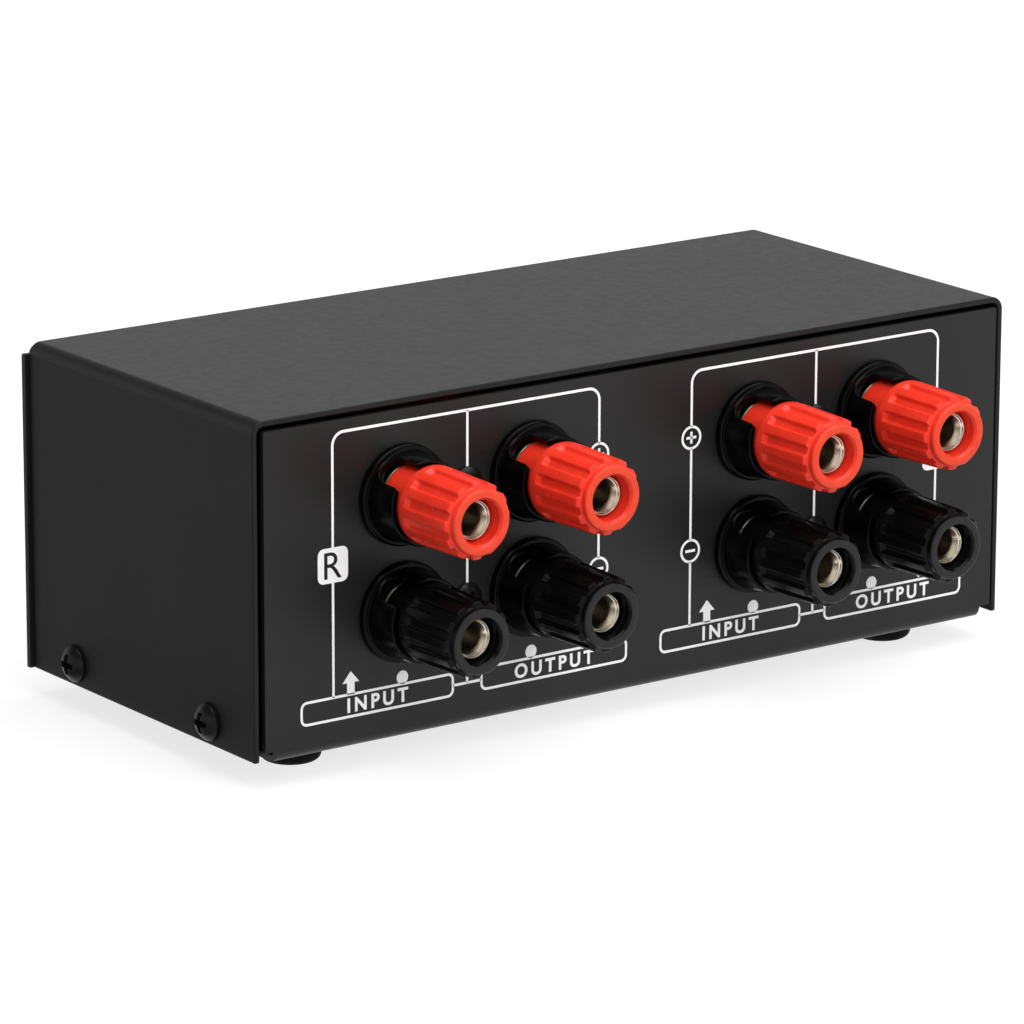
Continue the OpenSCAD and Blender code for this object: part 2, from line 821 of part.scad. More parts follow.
module pad_bush() {
    color(brass)
        on_shaft()
            difference() {
                union() {
                    translate([0, 0, -bush_flange_t])
                        cylinder(d = bush_flange_d, h = bush_flange_t);
                    cylinder(d = bush_d, h = sheet_t + bush_l);
                }
                translate([0, 0, -bush_flange_t - eps])
                    cylinder(r = shaft_hole_r, h = bush_flange_t + sheet_t + bush_l + 2 * eps);
            }
}

module lock_washer() {
    color(nickel)
        on_shaft()
            translate([0, 0, sheet_t])
                washer(lock_washer_d, bush_d / 2 + thread_play, lock_washer_t);
}

module bush_nut() {
    color(nickel)
        on_shaft()
            translate([0, 0, sheet_t + lock_washer_t])
                hex_nut(bush_nut_w, bush_nut_h, bush_d / 2 + thread_play);
}

// Terminals of one gang, drawn in the gang's own frame from start_r outwards; side 1 points them at +X
module gang_tabs(side, start_r, play) {
    for (turn = [-1, 0, 1])
        rotate(turn * tab_angle + (side > 0 ? 0 : 180))
            translate([start_r, -tab_w / 2 - play, cavity_mid - tab_t / 2 - play])
                cube([pad_d / 2 + tab_l - start_r, tab_w + 2 * play, tab_t + 2 * play]);
}

// Round outline with an ear at each tie bolt, and holes for the bolts and the shaft
module pad_outline(hole_r) {
    difference() {
        union() {
            circle(d = pad_d);
            at_ties()
                circle(d = ear_d);
        }
        circle(r = hole_r);
        at_ties()
            circle(r = tie_d / 2 + thread_play);
    }
}

// Cup of one gang, drawn in the gang's own frame with the front of its disc at z = 0
module gang_housing(side) {
    difference() {
        translate([0, 0, -gang_l])
            linear_extrude(gang_l)
                pad_outline(shaft_d / 2 + winding_play + shaft_play);
        translate([0, 0, -gang_l - eps])
            cylinder(r = housing_inner_r, h = gang_l - housing_disc_t + eps);
        gang_tabs(side, housing_inner_r - tab_w, tab_play);
    }
}

module front_housing() {
    color(phenolic)
        on_shaft() {
            translate([0, 0, gang_top[0]])
                gang_housing(1);
            translate([0, -pin_r, gang_top[0] - housing_disc_t / 2])
                cylinder(d = pin_d, h = bush_flange_t + sheet_t + housing_disc_t / 2);
        }
}

module rear_housing() {
    color(phenolic)
        on_shaft()
            translate([0, 0, gang_top[1]])
                gang_housing(-1);
}

// Part ring of resistance wire on its former, with its gap at the bottom of the dial
module gang_winding(gang) {
    color(wire_copper)
        on_shaft()
            translate([0, 0, gang_top[gang] + cavity_mid - winding_l / 2])
                rotate(270 + (360 - winding_angle) / 2)
                    rotate_extrude(angle = winding_angle)
                        translate([winding_r - winding_t, 0])
                            square([winding_t, winding_l]);
}

module front_winding() {
    gang_winding(0);
}

module rear_winding() {
    gang_winding(1);
}

module pad_back_plate() {
    color(phenolic)
        on_shaft()
            translate([0, 0, pad_low - back_plate_t])
                linear_extrude(back_plate_t)
                    pad_outline(shaft_hole_r);
}

module pad_terminals() {
    color(brass)
        on_shaft()
            for (gang = [0, 1])
                translate([0, 0, gang_top[gang]])
                    gang_tabs(gang == 0 ? 1 : -1, winding_r + winding_play / 2, 0);
}

module tie_bolts() {
    head_d = tie_d * 1.8;
    head_h = tie_d * 0.6;
    color(nickel)
        on_shaft()
            at_ties()
                translate([0, 0, pad_low - back_plate_t])
                    rotate([180, 0, 0])
                        pan_screw(tie_d, head_d, head_h, back_plate_t + 2 * gang_l);
}

// Contact arm on an insulating hub, pointing up at rest
module gang_wiper(gang) {
    tip_r = winding_r - winding_t - wiper_gap;
    color(brass)
        on_shaft()
            translate([0, 0, gang_top[gang] + cavity_mid - wiper_l / 2])
                difference() {
                    union() {
                        cylinder(d = wiper_hub_d, h = wiper_l);
                        intersection() {
                            translate([-wiper_arm_w / 2, 0, 0])
                                cube([wiper_arm_w, pad_d, wiper_l]);
                            cylinder(r = tip_r, h = wiper_l);
                        }
                    }
                    translate([0, 0, -eps])
                        cylinder(r = shaft_d / 2 + thread_play, h = wiper_l + 2 * eps);
                }
}

module front_wiper() {
    gang_wiper(0);
}

module rear_wiper() {
    gang_wiper(1);
}

module volume_shaft() {
    color(nickel)
        on_shaft()
            difference() {
                translate([0, 0, shaft_low])
                    cylinder(d = shaft_d, h = shaft_top - shaft_low);
                translate([-shaft_d, shaft_flat - 1.5 * shaft_d, knob_seat])
                    cube([2 * shaft_d, shaft_d, shaft_top]);
                translate([0, 0, clip_top - clip_t - shaft_play])
                    washer(2 * shaft_d, clip_groove_r, clip_t + 2 * shaft_play);
            }
}

// Open ring in the shaft's groove, behind the back plate
module shaft_clip() {
    color(nickel)
        on_shaft()
            translate([0, 0, clip_top - clip_t])
                difference() {
                    washer(clip_d, clip_groove_r + thread_play, clip_t);
                    translate([-clip_groove_r, -clip_d, -eps])
                        cube([2 * clip_groove_r, clip_d, clip_t + 2 * eps]);
                }
}

// Tapered knob with grip grooves, an index groove, a hollow back and a seat for the shaft
module volume_knob() {
    face_z = knob_low + knob_h;
    grip_l = knob_h - 4 * knob_edge_r;
    slope = atan((knob_d - knob_face_d) / 2 / (knob_h - knob_edge_r));
    color(plastic_black)
        on_shaft()
            difference() {
                union() {
                    translate([0, 0, knob_low])
                        cylinder(d1 = knob_d, d2 = knob_face_d, h = knob_h - knob_edge_r);
                    translate([0, 0, knob_low])
                        cylinder(d = knob_face_d - 2 * knob_edge_r, h = knob_h);
                    translate([0, 0, face_z - knob_edge_r])
                        rotate_extrude()
                            translate([knob_face_d / 2 - knob_edge_r, 0])
                                circle(knob_edge_r);
                }
                translate([0, 0, knob_low - eps])
                    cylinder(r = knob_face_d / 2 - knob_wall, h = knob_hollow_l + eps);
                difference() {
                    translate([0, 0, knob_low])
                        cylinder(r = shaft_d / 2 + thread_play, h = shaft_top - knob_low + thread_play);
                    translate([-shaft_d, shaft_flat - thread_play - 1.5 * shaft_d, knob_seat])
                        cube([2 * shaft_d, shaft_d, shaft_top]);
                }
                translate([0, 0, set_screw_z])
                    rotate([90, 0, 0])
                        cylinder(r = set_screw_d / 2 + thread_play, h = knob_d);
                for (i = [0:groove_count - 1])
                    rotate((i + 0.5) * 360 / groove_count)
                        translate([knob_d / 2, 0, knob_low + 2 * knob_edge_r])
                            rotate([0, -slope, 0])
                                cylinder(d = groove_d, h = grip_l);
                translate([-index_w / 2, knob_face_d / 6, face_z - index_depth])
                    cube([index_w, knob_d, knob_h]);
            }
}

// Headless screw that presses on the shaft's flat from below
module knob_set_screw() {
    seat_r = shaft_d / 2 - shaft_flat + thread_play;
    color(screw_black)
        on_shaft()
            translate([0, -seat_r, set_screw_z])
                rotate([90, 0, 0])
                    difference() {
                        cylinder(d = set_screw_d, h = set_screw_l);
                        translate([0, 0, set_screw_l / 2])
                            cylinder(d = set_screw_d / 2, h = set_screw_l, $fn = 6);
                    }
}

// Wire end on a tag's inner face, and on the rear face of a pad terminal
function tag_end(channel, column, row) = [
    channel * channel_x + column * post_pitch_x / 2,
    panel_y + nut_top - solder_gap,
    tag_z(row)
];
function tab_end(channel, turn) = [
    channel * tab_r * cos(turn * tab_angle),
    front_back_y - gang_top[channel > 0 ? 0 : 1] - cavity_mid + tab_t / 2 + solder_gap,
    cover_low + pad_z + tab_r * sin(turn * tab_angle)
];

// Tube from a tag to a terminal that leaves both squarely and bows towards a point between them
module hookup_wire(from, to, bow) {
    lead = [0, wire_lead, 0];
    stub = [0, wire_stub, 0];
    rings = 11;
    points = [from - stub, from - lead, bow, to + lead, to + stub];
    curve = [for (i = [0:rings]) blend(points, i / rings)];
    tube(concat([from], curve, [to]), wire_d);
}

function bow_at(channel, point) = [channel * point[0], point[1], point[2]];

module red_wires() {
    color(cap_red)
        for (channel = [1, -1]) {
            outer_tag = tag_end(channel, -inner_column(channel), 1);
            inner_tag = tag_end(channel, inner_column(channel), 1);
            hookup_wire(outer_tag, tab_end(channel, 0), bow_at(channel, outer_bow));
            hookup_wire(inner_tag, tab_end(channel, 1), bow_at(channel, inner_bow));
        }
}

module black_wires() {
    color(plastic_black)
        for (channel = [1, -1]) {
            strap_tail = tag_end(channel, inner_column(channel), -1);
            hookup_wire(strap_tail, tab_end(channel, -1), bow_at(channel, common_bow));
        }
}

top_cover();
chassis();
cover_screws();
rubber_feet();
panel_screws();
panel_nuts();
terminal_boards();
for (post = posts) {
    post_base(post);
    post_stud(post);
    clamp_washer(post);
    post_cap(post);
}
post_nuts();
solder_tags();
common_straps();
pad_bush();
lock_washer();
bush_nut();
front_housing();
rear_housing();
front_winding();
rear_winding();
pad_back_plate();
pad_terminals();
tie_bolts();
front_wiper();
rear_wiper();
volume_shaft();
shaft_clip();
volume_knob();
knob_set_screw();
red_wires();
black_wires();
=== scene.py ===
import json
import math

import bmesh
import bpy
import numpy as np
from mathutils import Matrix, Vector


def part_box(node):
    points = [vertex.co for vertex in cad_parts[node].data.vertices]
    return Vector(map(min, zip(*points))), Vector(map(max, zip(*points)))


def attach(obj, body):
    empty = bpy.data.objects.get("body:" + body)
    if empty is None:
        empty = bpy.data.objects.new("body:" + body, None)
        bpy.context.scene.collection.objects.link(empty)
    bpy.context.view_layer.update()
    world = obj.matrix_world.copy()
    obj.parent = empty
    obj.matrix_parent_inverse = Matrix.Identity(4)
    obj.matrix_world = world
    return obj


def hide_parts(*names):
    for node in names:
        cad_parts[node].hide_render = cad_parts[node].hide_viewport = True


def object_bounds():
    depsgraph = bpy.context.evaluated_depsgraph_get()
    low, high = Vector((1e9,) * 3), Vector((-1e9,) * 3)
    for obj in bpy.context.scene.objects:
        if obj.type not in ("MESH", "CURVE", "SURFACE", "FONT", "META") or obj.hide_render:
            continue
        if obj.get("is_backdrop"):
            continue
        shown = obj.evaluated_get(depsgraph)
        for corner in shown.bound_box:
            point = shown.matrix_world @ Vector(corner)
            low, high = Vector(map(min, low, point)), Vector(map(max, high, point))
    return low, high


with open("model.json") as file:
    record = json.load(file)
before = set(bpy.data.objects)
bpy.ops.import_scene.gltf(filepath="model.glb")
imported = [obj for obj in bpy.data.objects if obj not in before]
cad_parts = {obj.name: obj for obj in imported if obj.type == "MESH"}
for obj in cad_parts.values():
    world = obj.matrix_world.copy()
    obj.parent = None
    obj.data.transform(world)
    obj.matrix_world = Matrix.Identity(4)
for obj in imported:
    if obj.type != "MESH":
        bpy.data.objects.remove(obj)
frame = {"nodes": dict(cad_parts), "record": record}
cadLow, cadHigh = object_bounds()
nodes = frame["nodes"]
slotOf = {part["node"]: part["material_slot"] for part in frame["record"]["subparts"]}
mm = 0.001
right, rearward, up = np.eye(3)  # the part frame's +X, +Y and +Z
print("frame loaded,", len(nodes), "CAD nodes")


# materials: noise in Object coordinates drives colour, roughness and bump

noise = dict(detail=3.0, tintStops=(0.35, 0.65), roughSpan=(0.3, 0.7), roughGrain=4)


def addNode(material, kind, links=(), **values):
    # one node, with its sockets set or linked by name
    node = material.node_tree.nodes.new(kind)
    for socket, value in values.items():
        node.inputs[socket.replace("_", " ")].default_value = value
    for socket, source in links:
        material.node_tree.links.new(source, node.inputs[socket])
    return node


def grainy(material, size, stretch=(1, 1, 1)):
    # noise at a scale of 1 / size, so that its grains are about size metres wide, stretched along the axes
    place = addNode(material, "ShaderNodeTexCoord").outputs["Object"]
    mapped = addNode(material, "ShaderNodeMapping", [("Vector", place)], Scale=stretch).outputs["Vector"]
    grains = addNode(
        material, "ShaderNodeTexNoise", [("Vector", mapped)], Scale=1 / size, Detail=noise["detail"])
    return grains.outputs["Fac"]


def surfaceOf(name, look):
    # a Principled material: two tints by coarse noise, a roughness band by finer noise, and a fine bump
    material = bpy.data.materials.new(name)
    material.use_nodes = True
    shader = material.node_tree.nodes["Principled BSDF"]
    link = material.node_tree.links.new
    ramp = addNode(material, "ShaderNodeValToRGB", [("Fac", grainy(material, look["patch"]))])
    for stop, place, tint in zip(ramp.color_ramp.elements, noise["tintStops"], look["tints"]):
        stop.position = place
        stop.color = (*tint, 1)
    link(ramp.outputs["Color"], shader.inputs["Base Color"])
    rough = addNode(
        material, "ShaderNodeMapRange", [("Value", grainy(material, look["grain"] * noise["roughGrain"]))],
        From_Min=noise["roughSpan"][0], From_Max=noise["roughSpan"][1],
        To_Min=look["rough"][0], To_Max=look["rough"][1])
    link(rough.outputs["Result"], shader.inputs["Roughness"])
    height = grainy(material, look["grain"], look.get("stretch", (1, 1, 1)))
    bump = addNode(
        material, "ShaderNodeBump", [("Height", height)], Strength=look["bump"], Distance=look["depth"])
    link(bump.outputs["Normal"], shader.inputs["Normal"])
    for socket, value in look.get("fixed", {}).items():
        shader.inputs[socket].default_value = value
    return material


powderLook = dict(
    tints=((0.0085, 0.0085, 0.0087), (0.0105, 0.0105, 0.0107)), patch=14 * mm, grain=0.35 * mm,
    rough=(0.36, 0.41), bump=0.1, depth=0.02 * mm, fixed={"Specular IOR Level": 0.27},
)
coverPowderLook = dict(powderLook, fixed={"Specular IOR Level": 0.18})
blackPlasticLook = dict(
    tints=((0.0025, 0.0025, 0.0026), (0.0035, 0.0035, 0.0036)), patch=4 * mm, grain=0.3 * mm,
    rough=(0.2, 0.26), bump=0.06, depth=0.01 * mm, fixed={"Specular IOR Level": 0.1},
)
darkPlasticLook = dict(blackPlasticLook, tints=((0.0008, 0.0008, 0.0008), (0.0012, 0.0012, 0.0012)))
redPlasticLook = dict(
    tints=((0.76, 0.03, 0.013), (0.84, 0.039, 0.017)), patch=4 * mm, grain=0.3 * mm,
    rough=(0.27, 0.33), bump=0.06, depth=0.01 * mm,
    fixed={"Specular IOR Level": 0.3, "Subsurface Weight": 0.05, "Subsurface Radius": (1.0, 0.2, 0.1),
           "Subsurface Scale": 0.25 * mm},
)
mattBlackLook = dict(
    tints=((0.0085, 0.0085, 0.0087), (0.011, 0.011, 0.0112)), patch=2 * mm, grain=0.2 * mm,
    rough=(0.45, 0.55), bump=0.15, depth=0.01 * mm, fixed={"Specular IOR Level": 0.27},
)
mattRedLook = dict(
    tints=((0.72, 0.05, 0.018), (0.78, 0.06, 0.022)), patch=2 * mm, grain=0.2 * mm,
    rough=(0.4, 0.5), bump=0.15, depth=0.01 * mm, fixed={"Specular IOR Level": 0.3},
)
nickelLook = dict(
    tints=((0.66, 0.62, 0.55), (0.74, 0.7, 0.63)), patch=2 * mm, grain=0.2 * mm,
    rough=(0.16, 0.26), bump=0.2, depth=0.01 * mm, fixed={"Metallic": 1.0},
)
# a slightly rougher nickel with a lighter, yellower tint; the lighter tint is painted light inside the stud's
# funnel and bore
satinPaintedLightNickelLook = dict(nickelLook, tints=((0.7, 0.65, 0.55), (0.78, 0.73, 0.63)), rough=(0.18, 0.26))
# a rougher nickel with a much darker tint: the dark tint is painted shade on the clamp washers deep in the
# notch, and it dims their glint
roughPaintedShadeNickelLook = dict(nickelLook, tints=((0.3, 0.28, 0.24), (0.36, 0.34, 0.29)), rough=(0.26, 0.36))
blackScrewLook = dict(
    tints=((0.004, 0.004, 0.004), (0.007, 0.007, 0.0072)), patch=1.5 * mm, grain=0.15 * mm,
    rough=(0.28, 0.36), bump=0.2, depth=0.01 * mm, fixed={"Specular IOR Level": 0.22},
)
rubberLook = dict(
    tints=((0.002, 0.002, 0.002), (0.003, 0.003, 0.003)), patch=3 * mm, grain=0.25 * mm,
    rough=(0.6, 0.75), bump=0.4, depth=0.03 * mm, fixed={"Specular IOR Level": 0.1},
)
inkLook = dict(
    tints=((0.92, 0.92, 0.92), (0.96, 0.96, 0.96)), patch=1.2 * mm, grain=0.12 * mm,
    rough=(0.5, 0.62), bump=0.15, depth=0.005 * mm, fixed={"Specular IOR Level": 0.3},
)
brassLook = dict(
    tints=((0.58, 0.39, 0.13), (0.68, 0.48, 0.18)), patch=3 * mm, grain=0.2 * mm,
    rough=(0.25, 0.4), bump=0.2, depth=0.01 * mm, fixed={"Metallic": 1.0},
)
boardLook = dict(
    tints=((0.15, 0.07, 0.025), (0.22, 0.11, 0.04)), patch=2 * mm, grain=0.4 * mm,
    rough=(0.5, 0.65), bump=0.3, depth=0.03 * mm, stretch=(1, 1, 0.2),
)
mouldingLook = dict(
    tints=((0.03, 0.016, 0.01), (0.045, 0.025, 0.016)), patch=2 * mm, grain=0.4 * mm,
    rough=(0.4, 0.55), bump=0.3, depth=0.03 * mm,
)
windingLook = dict(
    tints=((0.3, 0.12, 0.05), (0.42, 0.19, 0.08)), patch=1 * mm, grain=0.3 * mm,
    rough=(0.3, 0.45), bump=0.6, depth=0.1 * mm, stretch=(1, 0.1, 1), fixed={"Metallic": 0.8},
)

powder = surfaceOf("blackPowderCoat", powderLook)
coverPowder = surfaceOf("coverPowderCoat", coverPowderLook)
blackPlastic = surfaceOf("blackMoulding", blackPlasticLook)
darkPlastic = surfaceOf("darkBlackMoulding", darkPlasticLook)
redPlastic = surfaceOf("redMoulding", redPlasticLook)
nickel = surfaceOf("brightNickel", nickelLook)
mattBlack = surfaceOf("mattBlackMoulding", mattBlackLook)
mattRed = surfaceOf("mattRedMoulding", mattRedLook)
satinPaintedLightNickel = surfaceOf("satinPaintedLightNickel", satinPaintedLightNickelLook)
roughPaintedShadeNickel = surfaceOf("roughPaintedShadeNickel", roughPaintedShadeNickelLook)
blackScrew = surfaceOf("blackScrewPlating", blackScrewLook)
rubber = surfaceOf("blackRubber", rubberLook)
ink = surfaceOf("whiteInk", inkLook)
brass = surfaceOf("plainBrass", brassLook)
board = surfaceOf("brownLaminate", boardLook)
moulding = surfaceOf("brownMoulding", mouldingLook)
winding = surfaceOf("copperWinding", windingLook)
slotFinish = dict(
    black_steel=powder, black_screws=blackScrew, black_rubber=rubber, black_plastic=blackPlastic,
    red_plastic=redPlastic, plated_metal=nickel, brass=brass, brown_board=board, dark_moulding=moulding,
    copper_winding=winding,
)
for node, slot in slotOf.items():
    nodeMesh = nodes[node].data
    nodeMesh.materials.clear()
    nodeMesh.materials.append(slotFinish[slot])
print("materials ready,", len(bpy.data.materials))


# mesh makers

straight = 1e-4  # radians: a corner that bends less than this isn't rounded
seam = 0.01  # millimetres left between the ends of an outline that closes on itself
merge = dict(doubles=1e-7, slivers=1e-8, sheetDoubles=2e-6)  # metres


def roundedLine(corners, arcSteps=4):
    # rows of x, y, rounding: a rounded corner becomes an arc that touches both of its sides, with its centre
    # on the corner's bisector, rounding / sin(half the corner's angle) away
    corners = np.array(corners, float)
    line = [corners[:1, :2]]
    for before, here, after in zip(corners, corners[1:], corners[2:]):
        corner, rounding = here[:2], here[2]
        if rounding == 0:
            line.append(corner[None])
            continue
        toBefore, toAfter = (end[:2] - corner for end in (before, after))
        toBefore /= np.linalg.norm(toBefore)
        toAfter /= np.linalg.norm(toAfter)
        half = math.acos(np.clip(toBefore @ toAfter, -1, 1)) / 2
        sweep = math.pi - 2 * half
        if sweep < straight:  # as many points as an arc has, all at the corner
            line.append(np.repeat(corner[None], arcSteps + 1, 0))
            continue
        bisector = (toBefore + toAfter) / np.linalg.norm(toBefore + toAfter)
        centre = corner + bisector * rounding / math.sin(half)
        start, end = (corner + side * rounding / math.tan(half) - centre for side in (toBefore, toAfter))
        share = np.linspace(0, 1, arcSteps + 1)[:, None]
        arc = (np.sin((1 - share) * sweep) * start + np.sin(share * sweep) * end) / math.sin(sweep)
        line.append(centre + arc)
    line.append(corners[-1:, :2])
    return np.concatenate(line)


def sideAxes(axis):
    # two directions square to axis, so that first x second = axis
    axis = np.asarray(axis, float)
    first = rearward if abs(axis[1]) < 0.5 else up
    return first, np.cross(axis, first)


def fullTurn(steps):
    # the angles of steps equal parts of a full turn
    return np.linspace(0, 2 * np.pi, steps, endpoint=False)


def turned(radius, along, angle, centre, axis):
    # surface of revolution: centre + along * axis + radius * (cos angle * first + sin angle * second)
    first, second = sideAxes(axis)
    return (centre + along[..., None] * np.asarray(axis, float)
            + radius[..., None] * (np.cos(angle)[..., None] * first + np.sin(angle)[..., None] * second))


def gridFaces(rows, columns, closeRows=False):
    # quads of a grid whose columns run right round; closeRows joins the last row to the first
    row = np.arange(rows if closeRows else rows - 1)[:, None]
    column = np.arange(columns)[None, :]
    nextRow, nextColumn = (row + 1) % rows, (column + 1) % columns
    quads = np.stack([row * columns + column, row * columns + nextColumn,
                      nextRow * columns + nextColumn, nextRow * columns + column], -1)
    return quads.reshape(-1, 4)


def makePiece(name, parts, material, body, replaced=(), sharp=40):
    # one mesh of several (points, faces) parts, its doubles merged and its faces turned outwards
    mesh = bpy.data.meshes.new(name)
    points, faces, count = [], [], 0
    for partPoints, partFaces in parts:
        flat = np.asarray(partPoints).reshape(-1, 3)
        points.append(flat)
        faces.extend([[int(i) + count for i in face] for face in partFaces])
        count += len(flat)
    mesh.from_pydata(np.concatenate(points).tolist(), [], faces)
    work = bmesh.new()
    work.from_mesh(mesh)
    bmesh.ops.remove_doubles(work, verts=work.verts, dist=merge["doubles"])
    bmesh.ops.dissolve_degenerate(work, edges=work.edges, dist=merge["slivers"])
    bmesh.ops.recalc_face_normals(work, faces=work.faces)
    work.to_mesh(mesh)
    work.free()
    mesh.shade_smooth()
    mesh.set_sharp_from_angle(angle=math.radians(sharp))
    mesh.materials.append(material)
    piece = bpy.data.objects.new(name, mesh)
    bpy.context.scene.collection.objects.link(piece)
    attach(piece, body)
    if replaced:
        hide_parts(*replaced)
    return piece


def faceCentres(piece):
    # each face's middle, in rows of x, y, z
    centres = np.empty(len(piece.data.polygons) * 3)
    piece.data.polygons.foreach_get("center", centres)
    return centres.reshape(-1, 3)


def paintFaces(piece, material, chosen):
    # a second material on the chosen faces
    piece.data.materials.append(material)
    piece.data.polygons.foreach_set("material_index", chosen.astype(np.int32))


def turnedPart(line, centre, axis, steps=64, closeRows=False):
    # a line of (radius, along) in millimetres, turned right round
    line = np.asarray(line) * mm
    angle = np.broadcast_to(fullTurn(steps), (len(line), steps))
    radius, along = (np.broadcast_to(line[:, [i]], angle.shape) for i in (0, 1))
    return turned(radius, along, angle, centre, axis), gridFaces(len(line), steps, closeRows)


def blendedPart(plain, cut, weight, centre, axis, closeRows=False):
    # turned right round like turnedPart, but in metres, and each column's line is
    # plain * (1 - weight) + cut * weight
    radius, along = (plain[:, [i]] * (1 - weight) + cut[:, [i]] * weight for i in (0, 1))
    angle = np.broadcast_to(fullTurn(radius.shape[1]), radius.shape)
    return turned(radius, along, angle, centre, axis), gridFaces(*radius.shape, closeRows)


def fromNearest(angle, count):
    # the angle to the middle of the nearest of count equal sectors
    pitch = 2 * np.pi / count
    return np.abs(angle % pitch - pitch / 2)


def middleOf(node):
    # (low + high) / 2 of a CAD node's box
    low, high = (np.array(corner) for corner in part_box(node))
    return (low + high) / 2


def smooth(share):
    # 3 share^2 - 2 share^3 from 0 to 1, and flat outside
    share = np.clip(share, 0, 1)
    return share * share * (3 - 2 * share)


# folded sheet steel: a copy of the CAD node with merged doubles and a small bevel on its outer edges

sheet = dict(edge=0.24 * mm, segments=4, sharpAngle=35, holeSize=15 * mm)


def outerEdges(work):
    # sharp edges in chains that reach further than any hole, so that the holes stay as they are
    limit = math.radians(sheet["sharpAngle"])
    loose = {edge for edge in work.edges if len(edge.link_faces) == 2 and edge.calc_face_angle() > limit}
    chosen = []
    while loose:
        chain = [loose.pop()]
        for edge in chain:
            joined = {other for vertex in edge.verts for other in vertex.link_edges} & loose
            loose -= joined
            chain.extend(joined)
        spots = np.array([vertex.co for edge in chain for vertex in edge.verts])
        if np.ptp(spots, axis=0).max() > sheet["holeSize"]:
            chosen.extend(chain)
    return chosen


def softenedSheet(name, node, coat):
    # the node's own mesh, smooth up to the sharp angle, with weighted bevels where outerEdges says
    mesh = nodes[node].data.copy()
    mesh.name = name
    work = bmesh.new()
    work.from_mesh(mesh)
    bmesh.ops.remove_doubles(work, verts=work.verts, dist=merge["sheetDoubles"])
    weight = work.edges.layers.float.new("bevel_weight_edge")
    for edge in outerEdges(work):
        edge[weight] = 1
    work.to_mesh(mesh)
    work.free()
    mesh.shade_smooth()
    mesh.set_sharp_from_angle(angle=math.radians(sheet["sharpAngle"]))
    mesh.materials.clear()
    mesh.materials.append(coat)
    piece = bpy.data.objects.new(name, mesh)
    bpy.context.scene.collection.objects.link(piece)
    bevel = piece.modifiers.new("edge", "BEVEL")
    bevel.limit_method = "WEIGHT"
    bevel.width = sheet["edge"]
    bevel.segments = sheet["segments"]
    flat = piece.modifiers.new("flat", "WEIGHTED_NORMAL")  # keeps the wide faces flat beside the bevel
    flat.keep_sharp = True
    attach(piece, "case")
    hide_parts(node)


softenedSheet("topCover", "top_cover", coverPowder)
softenedSheet("foldedChassis", "chassis", powder)
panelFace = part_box("chassis")[1].y
print("sheet steel ready")


# binding posts: lengths are counted outwards from the rear panel's face, in millimetres

cap = dict(
    rearRadius=5.85, ribFront=5.65, ringRadius=4.85, rear=7.2, bandEnd=8.7, ribEnd=18.6, front=19.7,
    ringStep=0.1, skirtRadius=5.15, skirtEnd=2.32, boreRadius=3.0, mouthRadius=3.3, mouthRim=3.65,
    mouthChamfer=0.45, mouthFloor=15.7, fluteCount=12, fluteWidth=1.35, fluteDepth=0.55, fluteSoft=0.42,
    fluteRamp=0.75, mattDepth=0.15, columns=360, sharp=50,
)
base = dict(
    flangeRadius=7.5, flange=1.2, footRadius=6.75, footFlare=0.05, footHeight=0.15, rimRadius=6.35,
    innerRadius=5.45, rim=6.6, rimEdge=0.22, edgeStart=0.1, edgeRun=0.6, edgeLeast=0.1, notchWidth=4.5,
    notchFloor=1.5, notchAngle=40, notchSteps=25, cornerRound=0.35, cornerGap=0.02, cornerSteps=5,
    wallSteps=30, neckRadius=4.2, neckEnd=-2.4, boreRadius=2.99, recessRadius=3.84, recessFloor=0.6, sharp=50,
)
stud = dict(
    radius=2.95, tail=-7.9, shoulderRadius=3.8, shoulderLow=0.6, shoulderHigh=1.2, mouth=17.6, boreRadius=2.0,
    boreFloor=3.6, boreTip=0.6, lipRadius=2.72, stepRadius=2.6, step=0.35, stepWidth=0.12, stepFall=0.06,
    funnel=1.5,
)
clamp = dict(inner=3.0, outer=5.15, low=1.75, high=2.25)


def capLine(fluteCut):
    # closed outline of a cap's section; fluteCut takes the flutes' depth off the ribbed length
    return roundedLine([
        (cap["boreRadius"], cap["skirtEnd"], 0),
        (cap["skirtRadius"], cap["skirtEnd"], 0.2),
        (cap["skirtRadius"], cap["rear"], 0.15),
        (cap["rearRadius"], cap["rear"], 0.35),
        (cap["rearRadius"], cap["bandEnd"], 0.3),
        (cap["rearRadius"] - fluteCut, cap["bandEnd"] + cap["fluteRamp"], 0.3),
        (cap["ribFront"] - fluteCut, cap["ribEnd"] - cap["ringStep"], 0.06 if fluteCut else 0.3),
        (cap["ringRadius"], cap["ribEnd"] + cap["ringStep"], 0.06),
        (cap["ringRadius"], cap["front"], 0.35),
        (cap["mouthRim"], cap["front"], 0.15),
        (cap["mouthRadius"], cap["front"] - cap["mouthChamfer"], 0.2),
        (cap["mouthRadius"], cap["mouthFloor"], 0.1),
        (cap["boreRadius"], cap["mouthFloor"], 0),
        (cap["boreRadius"], cap["skirtEnd"] + seam, 0),
    ])


def capPart(centre):
    # each column blends the rib line into the flute line; the weight eases from 1 in a flute to 0 on a rib,
    # by the distance round the cap from the flute's middle
    rib, flute = (capLine(cut) * mm for cut in (0, cap["fluteDepth"]))
    away = fromNearest(fullTurn(cap["columns"]), cap["fluteCount"]) * rib[:, [0]]
    weight = smooth(0.5 + (cap["fluteWidth"] / 2 * mm - away) / (cap["fluteSoft"] * mm))
    return blendedPart(rib, flute, weight, centre, rearward, closeRows=True)


